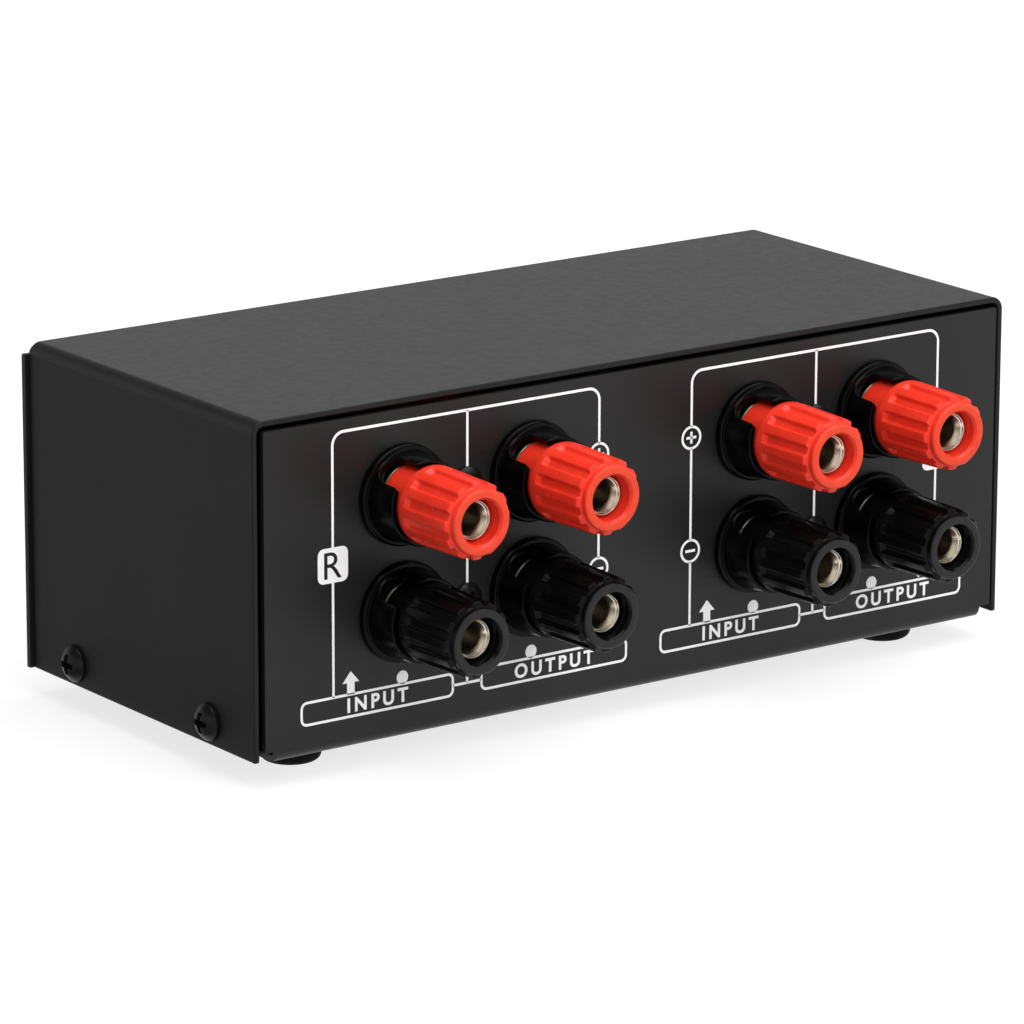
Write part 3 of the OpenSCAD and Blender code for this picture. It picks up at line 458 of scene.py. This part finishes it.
def notchColumns():
    # columns round half a base: across the notch by sideways distance, up its side, then on to the far notch;
    # the notch's floor is a half circle, floor + half - sqrt(half^2 - across^2)
    half, corner = base["notchWidth"] / 2, base["cornerRound"]
    across = half * np.sin(np.linspace(-np.pi / 2, np.pi / 2, base["notchSteps"]))
    bend = np.linspace(0, np.pi / 2, base["cornerSteps"])
    sideOffset = half + base["cornerGap"] + corner * (1 - np.cos(bend))
    sideHeight = base["rim"] - corner + corner * np.sin(bend)
    floorHeight = base["notchFloor"] + half - np.sqrt(np.maximum(half ** 2 - across ** 2, 0))
    offset = np.concatenate([-sideOffset[::-1], across, sideOffset])
    height = np.concatenate([sideHeight[::-1], floorHeight, sideHeight])
    share = np.linspace(0, 1, base["wallSteps"])[1:-1]
    return offset, height, share


def basePart(centre):
    # rows follow the cup's section; each column's rim height comes from the notch, and its angle from the
    # sideways distance over the radius, so that the notch's sides run parallel
    offset, height, share = notchColumns()
    rimHeights = np.concatenate([height, np.full(len(share), base["rim"])])
    rimHeights = np.concatenate([rimHeights, rimHeights])
    outside = roundedLine([
        (base["boreRadius"], base["neckEnd"], 0),
        (base["neckRadius"], base["neckEnd"], 0.2),
        (base["neckRadius"], 0, 0),
        (base["flangeRadius"], 0, 0.1),
        (base["flangeRadius"], base["flange"], 0.35),
        (base["footRadius"] + base["footFlare"], base["flange"], 0.12),
        (base["footRadius"], base["flange"] + base["footHeight"], 0),
    ])
    inside = roundedLine([
        (base["innerRadius"], base["flange"] + base["footHeight"], 0),
        (base["innerRadius"], base["flange"], 0.1),
        (base["recessRadius"], base["flange"], 0.05),
        (base["recessRadius"], base["recessFloor"], 0),
        (base["boreRadius"], base["recessFloor"], 0),
        (base["boreRadius"], base["neckEnd"] + seam, 0),
    ])
    # the rim's rounded edge shrinks where the notch leaves little wall
    room = (rimHeights - base["flange"] - base["edgeStart"]) / base["edgeRun"]
    edge = base["rimEdge"] * np.clip(room, base["edgeLeast"], 1)
    arc = np.linspace(0, np.pi / 2, base["cornerSteps"])[:, None]
    outward, inward = edge * (1 - np.cos(arc)), edge * (1 - np.sin(arc))
    wallTop = base["footRadius"] + (base["rimRadius"] - base["footRadius"]) * rimHeights / base["rim"]
    rimRadius = np.concatenate([wallTop - outward, base["innerRadius"] + inward])
    rimAlong = np.concatenate([rimHeights - inward, rimHeights - outward])
    columns = len(rimHeights)
    radius, along = (
        np.concatenate([np.repeat(outside[:, [i]], columns, 1), rim, np.repeat(inside[:, [i]], columns, 1)])
        for i, rim in ((0, rimRadius), (1, rimAlong)))
    lean = np.arcsin(np.clip(offset[None, :] / radius[:, :1], -1, 1))
    edgeLean = lean[:, [-1]]
    between = edgeLean + (np.pi - 2 * edgeLean) * share[None, :]
    angle = np.concatenate([lean, between, lean + np.pi, between + np.pi], 1)
    angle += math.radians(base["notchAngle"])
    return turned(radius * mm, along * mm, angle, centre, rearward), gridFaces(*radius.shape, closeRows=True)


studLine = roundedLine([
    (0, stud["tail"], 0),
    (stud["radius"], stud["tail"], 0.4),
    (stud["radius"], stud["shoulderLow"], 0),
    (stud["shoulderRadius"], stud["shoulderLow"], 0.05),
    (stud["shoulderRadius"], stud["shoulderHigh"], 0.1),
    (stud["radius"], stud["shoulderHigh"], 0),
    (stud["radius"], stud["mouth"], 0.18),
    (stud["lipRadius"], stud["mouth"], 0.08),
    (stud["stepRadius"], stud["mouth"] - stud["step"], 0.04),
    (stud["stepRadius"] - stud["stepWidth"], stud["mouth"] - stud["step"] - stud["stepFall"], 0.04),
    (stud["boreRadius"], stud["mouth"] - stud["funnel"], 1.0),
    (stud["boreRadius"], stud["boreFloor"], 0.2),
    (0, stud["boreFloor"] - stud["boreTip"], 0),
])
clampLine = roundedLine([
    (clamp["inner"], clamp["low"], 0),
    (clamp["outer"], clamp["low"], 0.12),
    (clamp["outer"], clamp["high"], 0.12),
    (clamp["inner"], clamp["high"], 0.05),
    (clamp["inner"], clamp["low"] + seam, 0),
])

postNames = [node.removeprefix("post_cap_") for node in nodes if node.startswith("post_cap_")]
mattFrom = panelFace + (cap["front"] - cap["mattDepth"]) * mm
for name in postNames:
    centre = middleOf("post_stud_" + name)
    centre[1] = panelFace
    gloss, matt = (redPlastic, mattRed) if name.endswith("plus") else (blackPlastic, mattBlack)
    capPiece = makePiece(
        "postCap_" + name, [capPart(centre)], gloss, "cap_" + name, ["post_cap_" + name], cap["sharp"])
    paintFaces(capPiece, matt, faceCentres(capPiece)[:, 1] > mattFrom)
    makePiece(
        "postBase_" + name, [basePart(centre)], darkPlastic, "case", ["post_base_" + name], base["sharp"])
    studPiece = makePiece(
        "postStud_" + name, [turnedPart(studLine, centre, rearward)], nickel, "case", ["post_stud_" + name])
    # the funnel and bore take the lighter nickel, whose tint is painted light in the hollow; the outer lip
    # stays bright nickel
    spots = faceCentres(studPiece) - centre
    inBore = np.hypot(spots[:, 0], spots[:, 2]) < stud["stepRadius"] * mm
    paintFaces(studPiece, satinPaintedLightNickel, inBore & (spots[:, 1] > 0))
    # the clamp washer takes the darkened nickel, whose dark tint is painted shade inside the notch
    makePiece(
        "clampWasher_" + name, [turnedPart(clampLine, centre, rearward, closeRows=True)], roughPaintedShadeNickel,
        "clamp_" + name, ["clamp_washer_" + name])
print("binding posts ready,", len(postNames))


# pan-head screws: lengths in millimetres, counted outwards from the seat under the head

coverScrew = dict(headRadius=2.8, headHeight=1.9, rim=0.5, threadRadius=1.5, length=6.0,
                  armWidth=0.75, armLength=2.9)
panelScrew = dict(headRadius=2.4, headHeight=1.5, rim=0.4, threadRadius=1.25, length=5.4,
                  armWidth=0.65, armLength=2.5)
screwShape = dict(edge=0.12, rimDrop=0.02, crossSoft=0.16, crossFloor=0.35, rings=46, columns=160)


def screwPart(size, seat, axis):
    # a dome over the head, height - dome + sqrt(dome^2 - radius^2), that drops to the cross's floor inside a
    # soft-edged cross, then the rim, the underside and the thread
    drop = size["headHeight"] - size["rim"]
    dome = (size["headRadius"] ** 2 + drop ** 2) / (2 * drop)
    radii = np.linspace(0, size["headRadius"] - screwShape["edge"], screwShape["rings"])
    top = np.stack([radii, size["headHeight"] - dome + np.sqrt(dome ** 2 - radii ** 2)], 1)
    low = roundedLine([
        (*top[-1], 0),
        (size["headRadius"], size["rim"] - screwShape["rimDrop"], 0.1),
        (size["headRadius"], 0, 0.08),
        (size["threadRadius"], 0, 0),
        (size["threadRadius"], -size["length"], 0.3),
        (0, -size["length"], 0),
    ])[1:]
    line = np.concatenate([top, low])
    radius, plain = line[:, [0]], line[:, [1]]
    angle = np.broadcast_to(fullTurn(screwShape["columns"]), (len(line), screwShape["columns"]))
    sideways = np.abs(np.stack([radius * np.cos(angle), radius * np.sin(angle)]))
    inside = np.minimum(size["armWidth"] / 2 - sideways.min(0), size["armLength"] / 2 - sideways.max(0))
    onTop = np.arange(len(line))[:, None] < len(top)
    cut = smooth(0.5 + inside / screwShape["crossSoft"]) * onTop
    height = plain - cut * (plain - screwShape["crossFloor"] * size["headHeight"])
    radius = np.broadcast_to(radius, angle.shape)
    return turned(radius * mm, height * mm, angle, seat, axis), gridFaces(*radius.shape)


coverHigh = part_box("top_cover")[1]
screwLow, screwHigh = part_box("cover_screws")
headInset = coverScrew["headRadius"] * mm
coverScrews = []
for side in (-1, 1):
    for y in (screwLow.y + headInset, screwHigh.y - headInset):
        seat = np.array([side * coverHigh.x, y, (screwLow.z + screwHigh.z) / 2])
        coverScrews.append(screwPart(coverScrew, seat, side * right))
makePiece("coverScrews", coverScrews, blackScrew, "case", ["cover_screws"])

panelLow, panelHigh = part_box("panel_screws")
inset = panelScrew["headRadius"] * mm
panelScrews = [
    screwPart(panelScrew, np.array([x, panelFace, z]), rearward)
    for x in (panelLow.x + inset, panelHigh.x - inset)
    for z in (panelLow.z + inset, panelHigh.z - inset)
]
makePiece("panelScrews", panelScrews, blackScrew, "case", ["panel_screws"])
print("screws ready,", len(coverScrews) + len(panelScrews))


# stick-on feet, in millimetres above the floor

foot = dict(topRadius=4.75, lowRadius=4.45, height=3.8, edge=1.2, dish=0.02, dishShare=0.55, arcSteps=8)
footLine = roundedLine([
    (0, foot["dish"], 0),
    (foot["lowRadius"] * foot["dishShare"], 0, 0),
    (foot["lowRadius"], 0, foot["edge"]),
    (foot["topRadius"], foot["height"], 0.1),
    (0, foot["height"], 0),
], foot["arcSteps"])
footLow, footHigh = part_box("rubber_feet")
footInset = foot["topRadius"] * mm
feet = [
    turnedPart(footLine, np.array([x, y, 0]), up)
    for x in (footLow.x + footInset, footHigh.x - footInset)
    for y in (footLow.y + footInset, footHigh.y - footInset)
]
makePiece("rubberFeet", feet, rubber, "case", ["rubber_feet"])


# volume knob: lengths in millimetres, counted forwards from the front wall's face

knob = dict(
    skirtRadius=15.0, faceRadius=14.0, low=0.6, high=19.1, edge=1.0, hollowRadius=11.0, hollow=10.1,
    boreRadius=3.04, seat=15.14, grooveCount=30, grooveWidth=1.5, grooveDepth=0.7, grooveLow=2.6,
    grooveHigh=17.0, grooveEnd=0.3, ribDepth=0.001, faceRim=2.2, faceSlope=2.6, faceDrop=0.25, columns=360,
    indexFrom=4.5, indexTo=11.2, indexWidth=1.2,
)
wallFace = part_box("chassis")[0].y
knobCentre = middleOf("volume_shaft")
knobCentre[1] = wallFace


def knobLine(cut):
    # outline of the knob's section from the bottom of its shaft seat, round the outside and over the face;
    # the side leans evenly from the skirt to the face, less the cut between the grooves' ends
    lean = (knob["skirtRadius"] - knob["faceRadius"]) / (knob["high"] - knob["low"])
    sideRows = (
        (knob["grooveLow"] - knob["grooveEnd"], 0, 0.1),
        (knob["grooveLow"] + knob["grooveEnd"], cut, 0.2),
        (knob["grooveHigh"] - knob["grooveEnd"], cut, 0.2),
        (knob["grooveHigh"] + knob["grooveEnd"], 0, 0.1),
    )
    rim = [(knob["skirtRadius"] - lean * (along - knob["low"]) - depth, along, soft)
           for along, depth, soft in sideRows]
    return roundedLine([
        (0, knob["seat"], 0),
        (knob["boreRadius"], knob["seat"], 0),
        (knob["boreRadius"], knob["hollow"], 0),
        (knob["hollowRadius"], knob["hollow"], 0.3),
        (knob["hollowRadius"], knob["low"], 0.2),
        (knob["skirtRadius"], knob["low"], 0.5),
        *rim,
        (knob["faceRadius"], knob["high"], knob["edge"]),
        (knob["faceRadius"] - knob["faceRim"], knob["high"], 0.1),
        (knob["faceRadius"] - knob["faceSlope"], knob["high"] - knob["faceDrop"], 0.1),
        (0, knob["high"] - knob["faceDrop"], 0),
    ])


def knobPart(centre):
    # each column blends the plain line into the grooved one; the weight sqrt(1 - (away / half width)^2) makes
    # the grooves round
    plain, grooved = (knobLine(cut) * mm for cut in (knob["ribDepth"], knob["grooveDepth"]))
    away = fromNearest(fullTurn(knob["columns"]), knob["grooveCount"]) * knob["skirtRadius"]
    weight = np.sqrt(np.maximum(1 - (away / (knob["grooveWidth"] / 2)) ** 2, 0))
    return blendedPart(plain, grooved, weight, centre, -rearward)


makePiece("volumeKnob", [knobPart(knobCentre)], blackPlastic, "volume", ["volume_knob"])
print("feet and knob ready")


# white printing: thin raised shapes on the rear panel and the front wall, in millimetres on the wall's plane

inkSize = dict(lift=0.03, thick=0.03, line=0.4, boxLine=0.38, bold=0.012, sharp=20)


def onWall(flat, lift, origin, across, outward):
    # origin + x * across + y * up + lift * outward, from millimetres
    place = origin + flat[..., [0]] * mm * across + flat[..., [1]] * mm * up
    return place + np.asarray(lift)[..., None] * mm * outward


def ribbon(path, width, closed=False):
    # a band of constant width along a path: each point is offset to both sides along its mitred normal
    path = np.asarray(path, float)
    ahead = np.roll(path, -1, 0) - path
    back = path - np.roll(path, 1, 0)
    if not closed:
        ahead[-1], back[0] = back[-1], ahead[0]
    ahead /= np.linalg.norm(ahead, axis=1)[:, None]
    back /= np.linalg.norm(back, axis=1)[:, None]
    normal = np.stack([-(ahead + back)[:, 1], (ahead + back)[:, 0]], 1)
    normal /= np.linalg.norm(normal, axis=1)[:, None]
    normal /= np.abs((normal * np.stack([-ahead[:, 1], ahead[:, 0]], 1)).sum(1))[:, None]
    left, other = path + normal * width / 2, path - normal * width / 2
    return np.stack([left, other, other, left], 1)


def ribbonPart(wall, path, width, closed=False):
    # a four-sided section carried along the path, closed into a ring or capped at its ends
    flat = ribbon(path, width, closed)
    low, high = inkSize["lift"] - inkSize["thick"], inkSize["lift"]
    lift = np.broadcast_to(np.array([low, low, high, high]), flat.shape[:2])
    faces = gridFaces(len(flat), 4, closeRows=closed).tolist()
    if not closed:
        last = 4 * (len(flat) - 1)
        faces += [[3, 2, 1, 0], [last, last + 1, last + 2, last + 3]]
    return onWall(flat, lift, *wall), faces


def outlinePart(wall, outline, extra=0.0):
    # a filled flat shape: its outline at two heights, with a wall round the edge
    outline = np.asarray(outline, float)
    count = len(outline)
    low, high = inkSize["lift"] - inkSize["thick"] + extra, inkSize["lift"] + extra
    points = np.concatenate([onWall(outline, np.full(count, lift), *wall) for lift in (low, high)])
    around = [[i, (i + 1) % count, count + (i + 1) % count, count + i] for i in range(count)]
    return points, around + [list(range(count))[::-1], list(range(count, 2 * count))]


def circlePath(x, y, radius, steps=40):
    # points round a circle: x + radius * cos angle, y + radius * sin angle
    angle = fullTurn(steps)
    return np.stack([x + radius * np.cos(angle), y + radius * np.sin(angle)], 1)


def boxPath(low, high, corner, steps=6):
    # rounded rectangle: a quarter circle about each corner's centre, in order round the box
    bend = np.linspace(0, np.pi / 2, steps)
    (left, bottom), (end, top) = np.add(low, corner), np.subtract(high, corner)
    centres = ((end, top), (left, top), (left, bottom), (end, bottom))
    return np.concatenate([
        np.stack([x + corner * np.cos(bend + i * np.pi / 2), y + corner * np.sin(bend + i * np.pi / 2)], 1)
        for i, (x, y) in enumerate(centres)])


def wordPart(wall, words, middle, height, widthLimit, bold=inkSize["bold"], spacing=1.0, extra=0.0):
    # letters of Blender's own font as a mesh, scaled to a cap height, narrowed to a width limit and centred
    halfDeep = 0.5
    curve = bpy.data.curves.new("letters", "FONT")
    curve.body = words
    curve.offset = bold
    curve.space_character = spacing
    curve.extrude = halfDeep
    holder = bpy.data.objects.new("letters", curve)
    mesh = bpy.data.meshes.new_from_object(holder)
    points = np.empty(len(mesh.vertices) * 3)
    mesh.vertices.foreach_get("co", points)
    points = points.reshape(-1, 3)
    faces = [list(polygon.vertices) for polygon in mesh.polygons]
    low, high = points.min(0), points.max(0)
    tall = height / (high - low)[1]
    wide = min(tall, widthLimit / (high - low)[0])
    shape = (points[:, :2] - (low + high)[:2] / 2) * np.array([wide, tall]) + np.array(middle)
    lift = inkSize["lift"] + extra - inkSize["thick"] * (halfDeep - points[:, 2])
    bpy.data.objects.remove(holder)
    bpy.data.curves.remove(curve)
    bpy.data.meshes.remove(mesh)
    return onWall(shape, lift, *wall), faces


rearWall = (np.array([0, panelFace, 0]), right, rearward)
rearWords = (np.array([0, panelFace, 0]), -right, rearward)  # reads rightwards from behind the box
frontWall = (np.array([knobCentre[0], wallFace, knobCentre[2]]), right, -rearward)

# boxes: each word's spans across the panel; signs: heights, true for a plus; arrows: places, true for upwards
rearPrint = dict(
    top=51.0, frameInner=8.5, frameOuter=55.6, shift=-0.1, frameCorner=1.9, bendSteps=8,
    boxes={"INPUT": ((34.6, 61.0), (-29.55, -3.2)), "OUTPUT": ((3.2, 29.5), (-61.0, -34.4))},
    boxLow=8.7, boxHigh=12.0, boxCorner=0.9, link=10.2,
    wordHeight=2.2, wordWidth=18.0, wordBold=0.03, wordSpacing=1.4,
    signs={40.9: True, 23.55: False}, signRadius=1.65, signReach=0.55,
    dotRadius=1.0, dotHeight=13.0,
    arrows={52.5: True, -11.85: True, 11.6: False, -52.8: False},
    arrowTip=15.45, arrowHead=(2.9, 1.7), arrowStem=1.3, arrowGap=0.3,
    tagHeight=31.65, tagSize=5.2, tagCorner=1.0, tagLift=0.01,
    letterHeight=3.9, letterWidth=3.5, letterLift=0.03,
)


def arrowOutline(x, tail, tip, head, stem):
    # seven points of an arrow along the wall's height, from its tail to its tip
    neck = tip - math.copysign(head[1], tip - tail)
    halfStem, halfHead = stem / 2, head[0] / 2
    return [
        (x - halfStem, tail), (x + halfStem, tail), (x + halfStem, neck), (x + halfHead, neck), (x, tip),
        (x - halfHead, neck), (x - halfStem, neck),
    ]


def framePrint(side, dividerX):
    # one channel's frame: a line over the top with quarter-circle corners, its two legs, a divider, a plus
    # and a minus in rings on the inner leg, and a filled tag on the outer leg
    inner, outer = (side * rearPrint[key] + rearPrint["shift"] for key in ("frameInner", "frameOuter"))
    top, legEnd = rearPrint["top"], rearPrint["boxHigh"]
    ringRadius = rearPrint["signRadius"]
    plusAt, minusAt = sorted(rearPrint["signs"], reverse=True)
    bend = np.linspace(0, np.pi / 2, rearPrint["bendSteps"])
    corner = rearPrint["frameCorner"]
    inward = side * corner
    arcHeight = top - corner + corner * np.sin(bend)
    arcIn = np.stack([inner + inward - inward * np.cos(bend), arcHeight], 1)
    arcOut = np.stack([outer - inward + inward * np.cos(bend), arcHeight], 1)
    lines = [
        np.concatenate([[(inner, plusAt + ringRadius)], arcIn, arcOut[::-1], [(outer, legEnd)]]),
        [(inner, plusAt - ringRadius), (inner, minusAt + ringRadius)],
        [(inner, minusAt - ringRadius), (inner, legEnd)],
        [(dividerX, top), (dividerX, rearPrint["link"])],
    ]
    parts = [ribbonPart(rearWall, line, inkSize["line"]) for line in lines]
    reach = ringRadius * rearPrint["signReach"]
    for height, plus in rearPrint["signs"].items():
        ring = circlePath(inner, height, ringRadius)
        parts.append(ribbonPart(rearWall, ring, inkSize["boxLine"], closed=True))
        bars = [[(inner - reach, height), (inner + reach, height)]]
        if plus:
            bars.append([(inner, height - reach), (inner, height + reach)])
        parts.extend(ribbonPart(rearWall, bar, inkSize["line"]) for bar in bars)
    tagMiddle, tagHalf = np.array([outer, rearPrint["tagHeight"]]), rearPrint["tagSize"] / 2
    tag = boxPath(tagMiddle - tagHalf, tagMiddle + tagHalf, rearPrint["tagCorner"])
    parts.append(outlinePart(rearWall, tag, rearPrint["tagLift"]))
    return parts


channelX = (panelHigh.x - inset) / mm  # a channel's panel screws and its divider are in line
printed = framePrint(1, channelX) + framePrint(-1, -channelX)
boxLow, boxHigh = rearPrint["boxLow"], rearPrint["boxHigh"]
for words, spans in rearPrint["boxes"].items():
    for low, high in spans:
        box = boxPath((low, boxLow), (high, boxHigh), rearPrint["boxCorner"])
        printed.append(ribbonPart(rearWall, box, inkSize["boxLine"], closed=True))
        middle = (-(low + high) / 2, (boxLow + boxHigh) / 2)
        printed.append(wordPart(
            rearWords, words, middle, rearPrint["wordHeight"], rearPrint["wordWidth"],
            rearPrint["wordBold"], rearPrint["wordSpacing"]))
for inputSpan, outputSpan in zip(*rearPrint["boxes"].values()):
    link = [(outputSpan[1], rearPrint["link"]), (inputSpan[0], rearPrint["link"])]
    printed.append(ribbonPart(rearWall, link, inkSize["boxLine"]))
for name in postNames:
    if name.endswith("minus"):
        x = middleOf("post_stud_" + name)[0] / mm
        dot = circlePath(x, rearPrint["dotHeight"], rearPrint["dotRadius"])
        printed.append(outlinePart(rearWall, dot))
for x, upward in rearPrint["arrows"].items():
    tip = rearPrint["arrowTip"]
    ends = (boxHigh, tip) if upward else (tip, boxHigh + rearPrint["arrowGap"])
    arrow = arrowOutline(x, *ends, rearPrint["arrowHead"], rearPrint["arrowStem"])
    printed.append(outlinePart(rearWall, arrow))
makePiece("rearPrinting", printed, ink, "case", sharp=inkSize["sharp"])

letters = []
for word, side in (("R", 1), ("L", -1)):
    middle = (-(side * rearPrint["frameOuter"] + rearPrint["shift"]), rearPrint["tagHeight"])
    letters.append(wordPart(
        rearWords, word, middle, rearPrint["letterHeight"], rearPrint["letterWidth"], bold=0.0,
        extra=rearPrint["letterLift"]))
makePiece("channelLetters", letters, powder, "case", sharp=inkSize["sharp"])

dial = dict(
    steps=11, sweep=300, tick=(16.6, 18.4), tickWidth=0.45, numbers=20.6, numberHeight=2.3, numberWidth=3.4,
)
marks = []
for step in range(dial["steps"]):
    angle = math.radians(90 + dial["sweep"] / 2 - dial["sweep"] * step / (dial["steps"] - 1))
    ray = np.array([math.cos(angle), math.sin(angle)])
    marks.append(ribbonPart(frontWall, [ray * reach for reach in dial["tick"]], dial["tickWidth"]))
    marks.append(wordPart(
        frontWall, str(step), ray * dial["numbers"], dial["numberHeight"], dial["numberWidth"]))
makePiece("dialPrinting", marks, ink, "case", sharp=inkSize["sharp"])

knobFace = wallFace - (knob["high"] - knob["faceDrop"]) * mm
knobWall = (np.array([knobCentre[0], knobFace, knobCentre[2]]), right, -rearward)
indexLine = ribbonPart(knobWall, [(0, knob["indexFrom"]), (0, knob["indexTo"])], knob["indexWidth"])
makePiece("knobIndex", [indexLine], ink, "volume", sharp=inkSize["sharp"])
print("printing ready")


# stage: pale floor, white surroundings, soft lamps

def seenRay(holder):
    # 1 for camera, glossy and transmission rays: the largest of the three
    path = addNode(holder, "ShaderNodeLightPath")
    seen = path.outputs["Is Camera Ray"]
    for kind in ("Is Glossy Ray", "Is Transmission Ray"):
        either = addNode(holder, "ShaderNodeMath", [(0, seen), (1, path.outputs[kind])])
        either.operation = "MAXIMUM"
        seen = either.outputs[0]
    return seen


def mattPaint(name, grey):
    # plain paint of one grey, and its shader
    material = bpy.data.materials.new(name)
    material.use_nodes = True
    shader = material.node_tree.nodes["Principled BSDF"]
    shader.inputs["Base Color"].default_value = (grey, grey, grey, 1)
    shader.inputs["Roughness"].default_value = 0.9
    return material, shader


def stageSheet(name, low, high, lift, paint):
    # a level rectangle between two corners, at a height above the floor
    mesh = bpy.data.meshes.new(name)
    (left, front), (end, rear) = low, high
    corners = [(left, front, lift), (end, front, lift), (end, rear, lift), (left, rear, lift)]
    mesh.from_pydata(corners, [], [(0, 1, 2, 3)])
    mesh.materials.append(paint)
    piece = bpy.data.objects.new(name, mesh)
    bpy.context.scene.collection.objects.link(piece)
    piece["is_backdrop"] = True
    return piece


# the floor keeps the shadow, and has a glow that only the camera and reflections see
ground = dict(half=3.0, grey=0.3, glow=0.75)
floorPaint, floorShader = mattPaint("paleFloor", ground["grey"])
floorGlow = addNode(floorPaint, "ShaderNodeMath", [(0, seenRay(floorPaint))])
floorGlow.operation = "MULTIPLY"
floorGlow.inputs[1].default_value = ground["glow"]
floorShader.inputs["Emission Color"].default_value = (1, 1, 1, 1)
floorPaint.node_tree.links.new(floorGlow.outputs[0], floorShader.inputs["Emission Strength"])
stageSheet("floor", (-ground["half"], -ground["half"]), (ground["half"], ground["half"]), 0, floorPaint)

# a grey card on the floor beside the box is what the cover's side mirrors; only reflections see it
card = dict(gap=0.002, width=0.83, rear=0.6, front=-0.45, lift=0.001, grey=0.4)
cardNear = cadHigh[0] + card["gap"]
cardFar = cardNear + card["width"]
cardPaint = mattPaint("greyCard", card["grey"])[0]
greyCard = stageSheet("greyCard", (cardNear, card["front"]), (cardFar, card["rear"]), card["lift"], cardPaint)
greyCard.visible_camera = greyCard.visible_shadow = greyCard.visible_diffuse = False

# reflections see a white sky up to a low height that fades to a dark ceiling; the sky's other light is dim
sky = dict(white=0.3, dark=0.6, level=0.8, ceiling=0.06, fill=0.28)
world = bpy.data.worlds.new("studio")
bpy.context.scene.world = world
world.use_nodes = True
background = world.node_tree.nodes["Background"]
background.inputs["Color"].default_value = (1, 1, 1, 1)
skyWay = addNode(world, "ShaderNodeTexCoord").outputs["Generated"]
skyHeight = addNode(world, "ShaderNodeSeparateXYZ", [("Vector", skyWay)]).outputs["Z"]
skyFade = addNode(
    world, "ShaderNodeMapRange", [("Value", skyHeight)],
    From_Min=sky["white"], From_Max=sky["dark"], To_Min=sky["level"], To_Max=sky["ceiling"])
skyFade.interpolation_type = "SMOOTHSTEP"
skyMix = addNode(
    world, "ShaderNodeMix", [("Factor", seenRay(world)), ("B", skyFade.outputs["Result"])], A=sky["fill"])
world.node_tree.links.new(skyMix.outputs["Result"], background.inputs["Strength"])

# camera fitted to the photograph: angles in degrees, distance, target, lens and sensor in millimetres
shot = dict(
    azimuth=144.046, elevation=15.009, roll=0.158, distance=909.27, target=(2.137, 0, 24.586),
    lens=211.26, sensor=36, nearest=10,
)


def aimAt(place, target, roll=0.0):
    # turns an object's -Z to target with +Y upwards, then rolls it: side * cos + head * sin
    ahead = (target - place) / np.linalg.norm(target - place)
    side = np.cross(ahead, up)
    side /= np.linalg.norm(side)
    head = np.cross(side, ahead)
    cos, sin = math.cos(math.radians(roll)), math.sin(math.radians(roll))
    side, head = cos * side + sin * head, cos * head - sin * side
    matrix = np.eye(4)
    matrix[:3, :] = np.stack([side, head, -ahead, place], 1)
    return Matrix(matrix.tolist())


azimuth, elevation = math.radians(shot["azimuth"]), math.radians(shot["elevation"])
target = np.array(shot["target"]) * mm
level = np.array([math.sin(azimuth), -math.cos(azimuth), 0])
outward = level * math.cos(elevation) + up * math.sin(elevation)
cameraData = bpy.data.cameras.new("camera")
cameraData.lens = shot["lens"]
cameraData.sensor_width = shot["sensor"]
cameraData.clip_start = shot["nearest"] * mm
camera = bpy.data.objects.new("camera", cameraData)
bpy.context.scene.collection.objects.link(camera)
camera.matrix_world = aimAt(target + outward * shot["distance"] * mm, target, shot["roll"])
bpy.context.scene.camera = camera

# places and sizes in metres; a lamp that isn't mirrored gives light but no reflection of itself
lamps = dict(
    overhead=dict(place=(-0.1, 0.25, 1.1), size=(1.5, 1.1), watts=15.8, mirrored=True),
    rearSide=dict(place=(-0.5, 1.0, 0.6), size=(1.3, 0.9), watts=7.2, mirrored=False),
    viewFill=dict(place=(0.6, 0.95, 0.25), size=(0.9, 0.5), watts=4.3, mirrored=False),
)
for name, lamp in lamps.items():
    light = bpy.data.lights.new(name, "AREA")
    light.shape = "RECTANGLE"
    light.size, light.size_y = lamp["size"]
    light.energy = lamp["watts"]
    holder = bpy.data.objects.new(name, light)
    bpy.context.scene.collection.objects.link(holder)
    holder.matrix_world = aimAt(np.array(lamp["place"]), target)
    holder.visible_glossy = lamp["mirrored"]
bpy.context.scene.view_settings.view_transform = "Standard"
print("stage, camera and lamps ready")

low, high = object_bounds()
